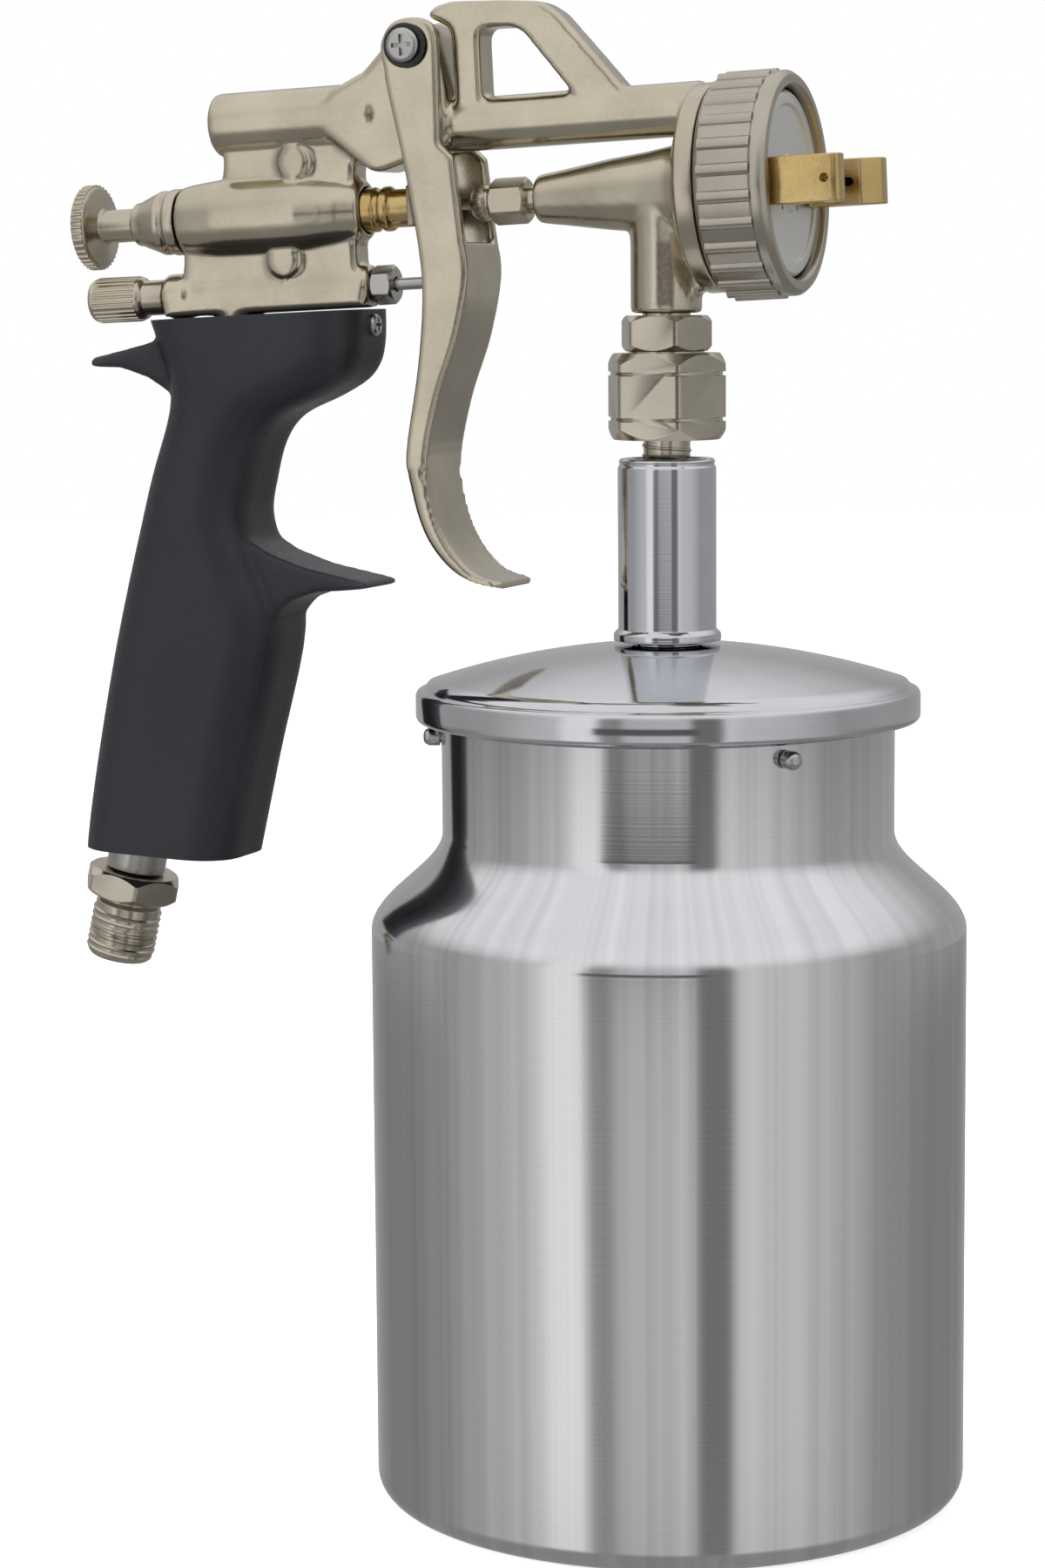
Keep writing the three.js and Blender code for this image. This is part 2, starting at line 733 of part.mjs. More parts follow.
// The moulded grip: a slab with its long edges broken, a finger rest in front and a tang behind.
function grip() {
  const core = solid(slab(gripOutline(), gripWidth, 2));
  const rest = shapeOf([
    [-86, -53], [-82, -57.5], [-77, -60.6], [-70, -63.4], [-57.6, -66.4],
    [-57.2, -67.8], [-68, -67.8], [-73.5, -69.2], [-77, -72.5], [-86, -75],
  ]);
  const tang = shapeOf([
    [-92, -21], [-104, -22.4], [-111, -23.4], [-111.2, -25.6], [-103, -26], [-92, -31],
  ]);
  const knives = [-1, 1].flatMap((side) => [
    gripEdgeKnife(gripHeelX, side, -10, alongHandle(gripTop) + 10),
    gripEdgeKnife(gripToeX, side, -10, alongHandle(-62)),
    gripEdgeKnife(gripRecessX, side, alongHandle(-62), alongHandle(-36)),
  ]);
  const body = joined(
    cutBy(core, ...knives),
    solid(slab(rest, gripRestWidth)),
    solid(slab(tang, gripTangWidth)),
  );
  const tubeHole = raked(rod(handleTubeRadius + gap, -10, alongHandle(gripTop) + 10, rings.small));
  const socketHole = raked(
    rod(socketRadius + gap, alongHandle(socketBottom) - gap, alongHandle(gripTop) + 10, rings.medium));
  return cutBy(body, solid(tubeHole), solid(socketHole), gripScrewHole());
}

function gripScrewHole() {
  const hole = rodX(gripScrewRadius + gap, gripFrontX - gripScrewLength - gap, gripFrontX + 1, rings.small);
  return solid(hole.translate(0, 0, gripScrewZ));
}

// The screw that holds the grip to the casting's socket, from the front.
function gripScrew() {
  const seat = gripFrontX + gap;
  const profile = [
    [0, gripFrontX - gripScrewLength],
    [gripScrewRadius, gripFrontX - gripScrewLength],
    [gripScrewRadius, seat],
    [gripScrewHead, seat],
    [gripScrewHead, seat + gripScrewHeadDepth * 0.5],
    [gripScrewHead * 0.6, seat + gripScrewHeadDepth],
    [0, seat + gripScrewHeadDepth],
  ];
  return solid(turnedX(profile, rings.small).translate(0, 0, gripScrewZ));
}

function handleTube() {
  const top = alongHandle(handleTubeTop);
  return solid(raked(tube(handleTubeRadius, handleTubeBore, -handleTubeBelowFoot, top, rings.small)));
}

// The air inlet: a spigot up the handle tube, a hexagonal collar and the nipple below it.
function airInletFitting() {
  const collarTop = -handleTubeBelowFoot - gap;
  const collarBottom = collarTop - inletCollarDepth;
  const bottom = collarBottom - inletNippleLength;
  const collar = hexagon(inletFlats, collarBottom, collarTop, 1);
  const spigot = rod(handleTubeBore - gap, collarTop - 1, collarTop + inletSpigotLength, rings.small);
  const nipple = turned([
    [0, bottom],
    [inletNippleRadius - 0.8, bottom],
    [inletNippleRadius, bottom + 0.8],
    [inletNippleRadius, collarBottom - 1.4],
    [inletNippleRadius - 1, collarBottom - 0.8],
    [inletNippleRadius - 1, collarBottom + 1],
    [0, collarBottom + 1],
  ], rings.small);
  const bore = rod(inletBoreRadius, bottom - 1, collarTop + inletSpigotLength + 1, rings.small);
  const body = cutBy(joined(collar, solid(spigot), solid(nipple)), solid(bore));
  return body.rotate([0, handleRake, 0]).translate([foot.x, foot.y, foot.z]);
}

// ---------------------------------------------------------------- head pieces

function retainingRing() {
  const profile = [
    [ringBore, ringRear],
    [ringRadius - 0.8, ringRear],
    [ringRadius, ringRear + 0.8],
    [ringRadius, ringFront - 1],
    [ringRadius - 1, ringFront],
    [ringLipBore, ringFront],
    [ringLipBore, ringLipRear],
    [ringBore, ringLipRear],
  ];
  return solid(turnedX(profile, rings.fine));
}

function hornCentre(side) {
  return side * (hornOuter + hornInnerRoot) / 2;
}

function airCap() {
  const flangeRadius = ringBore - gap;
  const profile = [
    [capCentreHole, capFront - capWall],
    [capRadius - 1.6, capFront - capWall],
    [capRadius - 1.6, capFlangeRear],
    [flangeRadius, capFlangeRear],
    [flangeRadius, capFlangeFront],
    [capRadius, capFlangeFront],
    [capRadius, capFront - 0.5],
    [capRadius - 0.5, capFront],
    [capCentreHole, capFront],
  ];
  const holes = [-1, 1].map((side) => {
    const hole = rodX(hornSpigotRadius + gap, capFront - 2 * capWall, capFront + 1, rings.tiny);
    return solid(hole.translate(0, hornCentre(side), 0));
  });
  return cutBy(solid(turnedX(profile, rings.fine)), ...holes);
}

// One air horn: a block with a slanted inner face, its spigot and the jet drilled through both.
function capHorn(side) {
  const root = capFront + gap;
  const tip = root + hornLength;
  const outline = new THREE.Shape([
    new THREE.Vector2(root, hornInnerRoot),
    new THREE.Vector2(tip - 3.4, hornInnerRoot + 0.6),
    new THREE.Vector2(tip, hornInnerTip),
    new THREE.Vector2(tip, hornOuter - 0.6),
    new THREE.Vector2(tip - 1, hornOuter),
    new THREE.Vector2(root, hornOuter),
  ]);
  const options = { depth: 2 * hornHalfHeight, bevelEnabled: false };
  const block = new THREE.ExtrudeGeometry(outline, options).translate(0, 0, -hornHalfHeight);
  const spigot = rodX(hornSpigotRadius, capFront - capWall, root + 1, rings.tiny);
  const rise = rodX(hornJetRadius, capFront - capWall - 1, tip - 3, rings.tiny);
  const jet = rodY(hornJetRadius, -hornOuter, 0, rings.tiny).rotateZ(-Math.PI / 5);
  const middle = (hornOuter + hornInnerRoot) / 2;
  const horn = cutBy(
    joined(solid(block), solid(spigot.translate(0, middle, 0))),
    solid(rise.translate(0, middle, 0)),
    solid(jet.translate(tip - 3.4, middle, 0)),
  );
  return side > 0 ? horn : horn.rotate([180, 0, 0]);
}

function fluidNozzle() {
  const hexRear = headFace + gap;
  const hexFront = hexRear + 3;
  const tip = capFront + 0.8;
  const hex = hexagonX(nozzleHexFlats, hexRear, hexFront, 0.6);
  const profile = [
    [0, headFace - 6],
    [nozzleThreadRadius, headFace - 6],
    [nozzleThreadRadius, hexFront + 1],
    [nozzleTipRadius, capFront - 2.4],
    [nozzleTipRadius, tip],
    [0, tip],
  ];
  const bore = [
    [0, headFace - 7],
    [nozzleTipRadius + 0.2, headFace - 7],
    [nozzleTipRadius + 0.2, hexFront],
    [nozzleJetRadius, capFront - 1],
    [nozzleJetRadius, tip + 1],
    [0, tip + 1],
  ];
  const body = joined(hex, solid(turnedX(profile, rings.small)));
  return cutBy(body, solid(turnedX(bore, rings.tiny)));
}

function headGasket() {
  const outer = threadBore - gap;
  return solid(tubeX(outer, outer - 2.4, headFace + gap, headFace + gap + 1, rings.medium));
}

function airDistributor() {
  const rear = headFace + 2 * gap + 1;
  const outer = threadBore - gap;
  const disc = solid(tubeX(outer, distributorInner, rear, rear + distributorDepth, rings.medium));
  const holes = Array.from({ length: distributorHoles }, (_, i) => {
    const hole = rodX(1.3, rear - 1, rear + distributorDepth + 1, rings.tiny);
    return solid(hole.translate(0, 0, 11.6).rotateX((2 * Math.PI * i) / distributorHoles));
  });
  return cutBy(disc, ...holes);
}

// ---------------------------------------------------------------- needle and air valve

function fluidNeedle() {
  const profile = [
    [0, -97],
    [needleRadius, -97],
    [needleRadius, headFace + 5],
    [nozzleJetRadius - gap, capFront - 1.4],
    [nozzleJetRadius - 1.5 * gap, capFront],
    [0, capFront],
  ];
  return solid(turnedX(profile, rings.tiny));
}

function needleCarrier() {
  const profile = [
    [needleRadius + gap, carrierRear],
    [carrierRadius, carrierRear],
    [carrierRadius, carrierFront - 6],
    [carrierRadius - 0.6, carrierFront - 5],
    [carrierRadius - 0.6, carrierFront],
    [needleRadius + gap, carrierFront],
  ];
  return solid(turnedX(profile, rings.small));
}

function springHousing() {
  const bore = fluidShankRadius + gap;
  const profile = [
    [bore, housingRear],
    [housingRearRadius, housingRear],
    [midTubeRadii[0] - 0.4, midTubeRear - 4.4],
    [midTubeRadii[0] - 0.2, midTubeRear - gap],
    [carrierBoreRadius - gap, midTubeRear - gap],
    [carrierBoreRadius - gap, housingSpigotFront],
    [bore, housingSpigotFront],
  ];
  return solid(turnedX(profile, rings.medium));
}

function fluidKnob() {
  const neckFront = housingRear - gap;
  const bore = needleRadius + gap;
  const profile = [
    [0, fluidKnobRear],
    [fluidKnobRadius - 0.6, fluidKnobRear],
    [fluidKnobRadius, fluidKnobRear + 0.6],
    [fluidKnobRadius, fluidKnobRear + fluidKnobDepth - 0.4],
    [fluidKnobRadius - 0.8, fluidKnobRear + fluidKnobDepth],
    [fluidKnobNeck, fluidKnobRear + fluidKnobDepth + 0.8],
    [fluidKnobNeck, neckFront],
    [fluidShankRadius, neckFront],
    [fluidShankRadius, fluidShankFront],
    [bore, fluidShankFront],
    [bore, neckFront],
    [0, neckFront],
  ];
  return solid(turnedX(profile, rings.medium));
}

function packingNut() {
  const hexRear = packingNutRear + 3.8;
  const hexFront = fluidBellRear - gap - 1.6;
  const cap = turnedX([
    [0, packingNutRear],
    [2.4, packingNutRear],
    [3.3, packingNutRear + 1],
    [3.3, hexRear + 1],
    [0, hexRear + 1],
  ], rings.small);
  const thread = rodX(packingNutFlats / 2 - 1 - gap, hexFront - 1, fluidBellRear + 4, rings.small);
  const body = joined(solid(cap), hexagonX(packingNutFlats, hexRear, hexFront, 0.5), solid(thread));
  return cutBy(body, solid(rodX(needleRadius + gap, packingNutRear - 1, fluidBellRear + 5, rings.tiny)));
}

function needlePacking() {
  const rear = fluidBellRear + 4 + gap;
  const outer = packingNutFlats / 2 - 1 - gap;
  return solid(tubeX(outer, needleRadius + gap, rear, fluidBellRear + 8 - gap, rings.tiny));
}

function airValveStem() {
  const profile = [
    [0, valveHeadFront - 3],
    [valveHeadRadius, valveHeadFront - 3],
    [valveHeadRadius, valveHeadFront],
    [valvePinRadius, valveHeadFront],
    [valvePinRadius, valvePinTip - 0.5],
    [valvePinRadius - 0.5, valvePinTip],
    [0, valvePinTip],
  ];
  return solid(turnedX(profile, rings.tiny).translate(0, 0, valveAxis));
}

function airValveSeal() {
  const rear = valveHeadFront + gap;
  const ring = tubeX(valveBoreRadius - gap, valvePinRadius + gap, rear, rear + 1.5, rings.small);
  return solid(ring.translate(0, 0, valveAxis));
}

function airValveGland() {
  const rear = valveTubeFront + gap;
  const hex = hexagonX(glandFlats, rear, rear + glandDepth, 0.5);
  const thread = solid(rodX(valveBoreRadius - gap, valveTubeFront - 4, rear + 1, rings.small));
  const bore = solid(rodX(valvePinRadius + gap, valveTubeFront - 5, rear + glandDepth + 1, rings.tiny));
  return cutBy(joined(hex, thread), bore).translate([0, 0, valveAxis]);
}

function airAdjustKnob() {
  const neckFront = valveTubeRear - gap;
  const profile = [
    [0, airKnobRear],
    [airKnobRadius - 0.5, airKnobRear],
    [airKnobRadius, airKnobRear + 0.5],
    [airKnobRadius, airKnobRear + airKnobLength - 0.5],
    [airKnobRadius - 0.5, airKnobRear + airKnobLength],
    [airKnobNeck, airKnobRear + airKnobLength],
    [airKnobNeck, neckFront],
    [valveBoreRadius - gap, neckFront],
    [valveBoreRadius - gap, neckFront + 5.6],
    [0, neckFront + 5.6],
  ];
  return solid(turnedX(profile, rings.small).translate(0, 0, valveAxis));
}

function airPassagePlug() {
  const rear = airTubeRear + airPlugInset;
  const body = solid(rodX(airPlugRadius, rear, rear + airPlugDepth, rings.small));
  const socket = solid(rodX(airPlugRadius * 0.55, rear - 1, rear + airPlugDepth / 2, 6));
  return cutBy(body, socket).translate([0, 0, airTubeHeight]);
}

// ---------------------------------------------------------------- trigger

// The side view of the lever: a fork round the pivot above, a long curved finger lever below.
function triggerOutline() {
  const outline = new THREE.Shape();
  outline.moveTo(-38.6, 10.4);
  outline.lineTo(-38.2, 28);
  outline.lineTo(-39.2, 31.2);
  outline.lineTo(-42.2, 32.5);
  curveThrough(outline, [[-46.6, 31.9], [-49, 28.2], [-48.6, 24]]);
  outline.lineTo(-48.2, 20.3);
  curveThrough(outline, [[-46.2, 9.5], [-44.2, -4], [-43.5, -15], [-45, -28]]);
  curveThrough(outline, [[-48.2, -43], [-47.8, -50], [-45.2, -58.8], [-39.6, -65.4], [-31.6, -68]]);
  outline.lineTo(-31.4, -66.8);
  curveThrough(outline, [[-37.6, -64.4], [-42.6, -56.8], [-44.3, -46.4], [-41.6, -34.6]]);
  curveThrough(outline, [[-37.2, -23.4], [-34.2, -12.6], [-35.2, -5]]);
  outline.lineTo(-36.2, 8);
  return outline;
}

function trigger() {
  const body = solid(slab(triggerOutline(), 2 * forkOuter, 2));
  const slot = box([-60, -forkInner, -8.5], [-20, forkInner, 40]);
  const channel = new THREE.Shape();
  channel.moveTo(-60, -4);
  channel.lineTo(-35.2 - leverWall, -4);
  const leverFace = [[-34.4, -12.6], [-37.4, -23.4], [-41.8, -34.6]];
  curveThrough(channel, leverFace.map(([x, z]) => [x - leverWall, z]));
  channel.lineTo(-46.6, -44);
  channel.lineTo(-60, -44);
  const hollow = slab(channel, 2 * forkInner, 3);
  const crossbar = box([carrierFront + gap, -forkInner - 1, -3.6], [carrierFront + 3.4, forkInner + 1, 3.6]);
  const needleSlot = box([-50, -needleRadius - 0.8, -needleRadius - 1.2], [-40, needleRadius + 0.8, 5]);
  const bushHoles = rodY(bushRadius + gap, -20, 20, rings.small).translate(pivotX, 0, pivotZ);
  const bar = solid(crossbar).subtract(solid(needleSlot));
  return joined(cutBy(body, solid(slot), solid(hollow), solid(bushHoles)), bar);
}

// A flanged plastic bush in one fork plate; side is -1 or 1 along Y.
function pivotBush(side) {
  const profile = [
    [pivotPinRadius + gap, forkInner],
    [bushRadius, forkInner],
    [bushRadius, forkOuter + gap],
    [bushFlangeRadius, forkOuter + gap],
    [bushFlangeRadius, forkOuter + gap + bushFlangeDepth],
    [pivotPinRadius + gap, forkOuter + gap + bushFlangeDepth],
  ];
  const bush = turned(profile, rings.small).rotateX((-side * Math.PI) / 2);
  return solid(bush.translate(pivotX, 0, pivotZ));
}

function triggerPivot() {
  const end = forkOuter + gap + bushFlangeDepth;
  const shank = rodY(pivotPinRadius, -end, end + gap + 0.2, rings.small);
  const head = rodY(screwHeadRadius, end + gap, end + gap + screwHeadDepth, rings.small);
  const tapped = rodY(screwThreadRadius + gap, -end - 1, -end + 6, rings.tiny);
  const pin = cutBy(joined(solid(shank), solid(head)), solid(tapped));
  return pin.translate([pivotX, 0, pivotZ]);
}

function pivotScrew() {
  const face = forkOuter + 2 * gap + bushFlangeDepth;
  const head = rodY(screwHeadRadius, -face - screwHeadDepth, -face, rings.small);
  const thread = rodY(screwThreadRadius, -face - 0.2, -face + 5, rings.tiny);
  const slotA = box([-2, -face - 2, -0.35], [2, -face - screwHeadDepth / 2, 0.35]);
  const slotB = box([-0.35, -face - 2, -2], [0.35, -face - screwHeadDepth / 2, 2]);
  const screw = cutBy(joined(solid(head), solid(thread)), solid(slotA), solid(slotB));
  return screw.translate([pivotX, 0, pivotZ]);
}

// ---------------------------------------------------------------- assembly

const finish = {
  aluminium: ['#b9bcc0', 1, 0.25],
  chrome: ['#c6c8cc', 1, 0.12],
  nickel: ['#b3aa98', 1, 0.35],
  brass: ['#d8b46a', 1, 0.3],
  steel: ['#9c9c9c', 1, 0.4],
  plastic: ['#2a2b30', 0, 0.45],
  rubber: ['#1c1c1c', 0, 0.8],
};

const sprayGun = new THREE.Group();
const gun = new THREE.Group();
gun.position.z = needleHeight;
gun.rotation.y = -rad(noseUp);
sprayGun.add(gun);

place(sprayGun, 'cup_body', cupBody(), ...finish.aluminium);
pinTurns().forEach((turn, i) => place(sprayGun, `cup_pin_${i + 1}`, cupPin(turn), ...finish.steel));

const gasketInner = neckRadius + lipStandOut - gasketWidth + gap;
const gasketOuter = lidRadius - lidSkirtWall - gap;
const lidGasket = solid(tube(gasketOuter, gasketInner, gasketBottom, gasketTop, rings.fine));
place(sprayGun, 'lid_shell', lidShell(), ...finish.aluminium);
place(sprayGun, 'lid_gasket', lidGasket, ...finish.rubber);
place(sprayGun, 'stem', stem(), ...finish.chrome);
place(sprayGun, 'stem_lock_nut', stemLockNut(), ...finish.steel);
place(sprayGun, 'pickup_tube', pickupTube(), ...finish.steel);
place(sprayGun, 'cup_tailpiece', cupTailpiece(), ...finish.brass);
place(sprayGun, 'union_nut', unionNut(), ...finish.nickel);
place(sprayGun, 'inlet_adapter', inletAdapter(), ...finish.nickel);

place(gun, 'gun_body', gunBody(), ...finish.nickel);
place(gun, 'air_passage_plug', airPassagePlug(), ...finish.steel);
place(gun, 'grip', grip(), ...finish.plastic);
place(gun, 'grip_screw', gripScrew(), ...finish.steel);
place(gun, 'handle_tube', handleTube(), ...finish.steel);
place(gun, 'air_inlet_fitting', airInletFitting(), ...finish.nickel);
place(gun, 'retaining_ring', retainingRing(), ...finish.nickel);
place(gun, 'air_cap', airCap(), ...finish.nickel);
place(gun, 'cap_horn_left', capHorn(1), ...finish.brass);
place(gun, 'cap_horn_right', capHorn(-1), ...finish.brass);
place(gun, 'fluid_nozzle', fluidNozzle(), ...finish.steel);
place(gun, 'head_gasket', headGasket(), ...finish.rubber);
place(gun, 'air_distributor', airDistributor(), ...finish.plastic);
place(gun, 'fluid_needle', fluidNeedle(), ...finish.steel);
place(gun, 'needle_carrier', needleCarrier(), ...finish.brass);
place(gun, 'needle_packing', needlePacking(), ...finish.rubber);
place(gun, 'packing_nut', packingNut(), ...finish.nickel);
place(gun, 'spring_housing', springHousing(), ...finish.nickel);
place(gun, 'fluid_knob', fluidKnob(), ...finish.nickel);
place(gun, 'air_valve_stem', airValveStem(), ...finish.steel);
place(gun, 'air_valve_seal', airValveSeal(), ...finish.rubber);
place(gun, 'air_valve_gland', airValveGland(), ...finish.steel);
place(gun, 'air_adjust_knob', airAdjustKnob(), ...finish.nickel);
place(gun, 'trigger', trigger(), ...finish.nickel);
place(gun, 'pivot_bush_left', pivotBush(1), ...finish.plastic);
place(gun, 'pivot_bush_right', pivotBush(-1), ...finish.plastic);
place(gun, 'trigger_pivot', triggerPivot(), ...finish.steel);
place(gun, 'pivot_screw', pivotScrew(), ...finish.steel);

const needleSpring = spring(fluidShankRadius + 0.9, housingSpigotFront + 0.8, carrierRear - 0.8, 5);
const valveSpringRear = valveTubeRear + 5.6;
const valveSpring = spring(valveHeadRadius - 0.3, valveSpringRear + 0.5, valveHeadFront - 3.8, 4);
place(gun, 'needle_spring', solid(needleSpring), ...finish.steel);
place(gun, 'air_valve_spring', solid(valveSpring.translate(0, 0, valveAxis)), ...finish.steel);

export default sprayGun;
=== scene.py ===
import json
import math

import bmesh
import bpy
from mathutils import Matrix, Vector


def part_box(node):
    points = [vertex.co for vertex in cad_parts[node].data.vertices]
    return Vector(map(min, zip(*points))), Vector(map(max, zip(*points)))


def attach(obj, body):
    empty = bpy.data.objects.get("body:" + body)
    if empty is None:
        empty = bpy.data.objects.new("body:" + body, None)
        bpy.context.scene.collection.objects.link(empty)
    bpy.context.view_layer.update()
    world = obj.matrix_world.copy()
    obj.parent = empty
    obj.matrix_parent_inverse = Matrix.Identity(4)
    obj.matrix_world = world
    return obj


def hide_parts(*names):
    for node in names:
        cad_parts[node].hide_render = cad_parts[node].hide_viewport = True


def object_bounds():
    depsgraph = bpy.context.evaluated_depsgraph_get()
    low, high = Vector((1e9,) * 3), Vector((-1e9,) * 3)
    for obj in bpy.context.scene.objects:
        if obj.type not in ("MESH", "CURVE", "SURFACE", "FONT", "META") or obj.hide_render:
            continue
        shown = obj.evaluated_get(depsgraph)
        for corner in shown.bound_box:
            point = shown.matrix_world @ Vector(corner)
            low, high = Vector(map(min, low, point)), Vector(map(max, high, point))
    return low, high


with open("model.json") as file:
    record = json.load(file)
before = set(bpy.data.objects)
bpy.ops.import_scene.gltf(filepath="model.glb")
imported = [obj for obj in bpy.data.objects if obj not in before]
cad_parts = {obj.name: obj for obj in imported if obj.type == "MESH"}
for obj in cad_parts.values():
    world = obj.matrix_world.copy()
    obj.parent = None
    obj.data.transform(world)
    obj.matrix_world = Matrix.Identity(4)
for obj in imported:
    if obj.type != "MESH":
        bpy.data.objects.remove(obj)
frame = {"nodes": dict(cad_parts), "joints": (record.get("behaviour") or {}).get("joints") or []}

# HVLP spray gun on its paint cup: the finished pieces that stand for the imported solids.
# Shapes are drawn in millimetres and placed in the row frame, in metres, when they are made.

cad_low, cad_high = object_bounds()

MM = 0.001
FINE = 96  # facets round a large turned piece
SMALL = 40  # facets round a small one
GAP = 0.3  # clearance between neighbouring pieces


def joint(name):
    """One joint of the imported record."""
    return next(item for item in frame["joints"] if item["name"] == name)


def gun_frame():
    """The gun's own frame: x along the barrel, z up from the needle axis, at the cup's axis."""
    barrel = Vector(joint("ring_turn")["axis"]).normalized()
    start = Vector(joint("ring_turn")["pos_m"])
    origin = start - barrel * (start.x / barrel.x)
    across = Vector((0, 1, 0))
    rows = Matrix((barrel, across, barrel.cross(across))).transposed().to_4x4()
    return Matrix.Translation(origin) @ rows @ Matrix.Scale(MM, 4)


CUP = Matrix.Scale(MM, 4)
GUN = gun_frame()
HANDLE_FOOT = (-110.4, 0, -116.6)  # where the handle's axis meets the grip's foot
HANDLE_RAKE = 15.4  # degrees from the gun's upright
HANDLE = GUN @ Matrix.Translation(HANDLE_FOOT) @ Matrix.Rotation(math.radians(HANDLE_RAKE), 4, "Y")

# ---------------------------------------------------------------- camera

CAMERA_PLACE = Vector((0.2212, -0.6363, 0.2148))
CAMERA_TURN = 21.36  # degrees round the vertical
CAMERA_PITCH = 7.38  # degrees below the horizon
CAMERA_ROLL = -0.45
CAMERA_LENS = 88
CAMERA_SENSOR = 36


def make_camera():
    data = bpy.data.cameras.new("studio_camera")
    data.lens = CAMERA_LENS
    data.sensor_width = CAMERA_SENSOR
    holder = bpy.data.objects.new("studio_camera", data)
    bpy.context.collection.objects.link(holder)
    turn = Matrix.Rotation(math.radians(CAMERA_TURN), 4, "Z")
    pitch = Matrix.Rotation(math.radians(90 - CAMERA_PITCH), 4, "X")
    roll = Matrix.Rotation(math.radians(CAMERA_ROLL), 4, "Z")
    holder.matrix_world = Matrix.Translation(CAMERA_PLACE) @ turn @ pitch @ roll
    bpy.context.scene.camera = holder


make_camera()

# ---------------------------------------------------------------- node helpers


def node(tree, kind, links=(), **settings):
    """A node of one kind; links fills its inputs, by name or number, with values or sockets."""
    made = tree.nodes.new(kind)
    for key, value in settings.items():
        setattr(made, key, value)
    for key, value in dict(links).items():
        if isinstance(value, bpy.types.NodeSocket):
            tree.links.new(value, made.inputs[key])
        else:
            made.inputs[key].default_value = value
    return made


def maths(tree, operation, first, second=0.0, clamp=False):
    links = {0: first, 1: second}
    return node(tree, "ShaderNodeMath", links, operation=operation, use_clamp=clamp).outputs[0]


def remap(tree, value, low, high, new_low, new_high, smooth=False):
    links = {"Value": value, "From Min": low, "From Max": high, "To Min": new_low, "To Max": new_high}
    kind = "SMOOTHSTEP" if smooth else "LINEAR"
    return node(tree, "ShaderNodeMapRange", links, interpolation_type=kind).outputs[0]


def mix_colour(tree, share, first, second, how="MIX"):
    made = node(tree, "ShaderNodeMix", data_type="RGBA", blend_type=how)
    for socket, value in zip((0, 6, 7), (share, first, second)):
        if isinstance(value, bpy.types.NodeSocket):
            tree.links.new(value, made.inputs[socket])
        else:
            made.inputs[socket].default_value = value
    return made.outputs[2]


def group(name, inputs, outputs):
    """An empty shader group with named sockets, and its two end nodes."""
    tree = bpy.data.node_groups.new(name, "ShaderNodeTree")
    kinds = {"float": "NodeSocketFloat", "colour": "NodeSocketColor", "vector": "NodeSocketVector"}
    for key, (kind, value) in inputs.items():
        socket = tree.interface.new_socket(key, in_out="INPUT", socket_type=kinds[kind])
        if value is not None:
            socket.default_value = value
    for key, kind in outputs.items():
        tree.interface.new_socket(key, in_out="OUTPUT", socket_type=kinds[kind])
    return tree, tree.nodes.new("NodeGroupInput").outputs, tree.nodes.new("NodeGroupOutput").inputs


def rgb(red, green, blue):
    return (red, green, blue, 1.0)


# ---------------------------------------------------------------- shared effects


def grain_group():
    """Cast or moulded skin: mottled colour, uneven gloss and a fine pebbled surface."""
    inputs = {
        "Light": ("colour", rgb(0.6, 0.6, 0.6)),
        "Dark": ("colour", rgb(0.5, 0.5, 0.5)),
        "Mottle": ("float", 90.0),
        "Grain": ("float", 900.0),
        "Gloss Low": ("float", 0.2),
        "Gloss High": ("float", 0.3),
        "Relief": ("float", 0.1),
    }
    outputs = {"Colour": "colour", "Roughness": "float", "Normal": "vector"}
    tree, given, result = group("skin_grain", inputs, outputs)
    place = node(tree, "ShaderNodeTexCoord").outputs["Object"]
    wide = node(tree, "ShaderNodeTexNoise", {"Vector": place, "Scale": given["Mottle"], "Detail": 4.0})
    tight = node(tree, "ShaderNodeTexNoise", {"Vector": place, "Scale": given["Grain"], "Detail": 3.0})
    share = remap(tree, wide.outputs[0], 0.35, 0.68, 0.0, 1.0)
    tree.links.new(mix_colour(tree, share, given["Light"], given["Dark"]), result["Colour"])
    gloss = node(tree, "ShaderNodeMapRange", {"Value": tight.outputs[0], "From Min": 0.3, "From Max": 0.7})
    tree.links.new(given["Gloss Low"], gloss.inputs["To Min"])
    tree.links.new(given["Gloss High"], gloss.inputs["To Max"])
    tree.links.new(gloss.outputs[0], result["Roughness"])
    bump = node(tree, "ShaderNodeBump", {"Height": tight.outputs[0], "Strength": given["Relief"],
                                         "Distance": 0.0002})
    tree.links.new(bump.outputs[0], result["Normal"])
    return tree


def edge_highlight_corner_shade_group():
    """Masks of outer edges, for a painted highlight, and of inner corners, for painted shade, from the surface's own
    curvature.
    """
    inputs = {"Edge": ("float", 0.5), "Corner": ("float", 0.5)}
    outputs = {"Edge": "float", "Corner": "float"}
    tree, given, result = group("edge_highlight_corner_shade", inputs, outputs)
    point = node(tree, "ShaderNodeNewGeometry").outputs["Pointiness"]
    place = node(tree, "ShaderNodeTexCoord").outputs["Object"]
    patchy = node(tree, "ShaderNodeTexNoise", {"Vector": place, "Scale": 240.0, "Detail": 5.0})
    broken = remap(tree, patchy.outputs[0], 0.35, 0.65, 0.35, 1.0)
    # convex edges: where a painted highlight is laid
    edge = remap(tree, point, 0.51, 0.60, 0.0, 1.0, smooth=True)
    # concave corners: where painted shade is laid
    corner = remap(tree, point, 0.49, 0.40, 0.0, 1.0, smooth=True)
    edge = maths(tree, "MULTIPLY", maths(tree, "MULTIPLY", edge, broken), given["Edge"], clamp=True)
    tree.links.new(edge, result["Edge"])
    tree.links.new(maths(tree, "MULTIPLY", corner, given["Corner"], clamp=True), result["Corner"])
    return tree


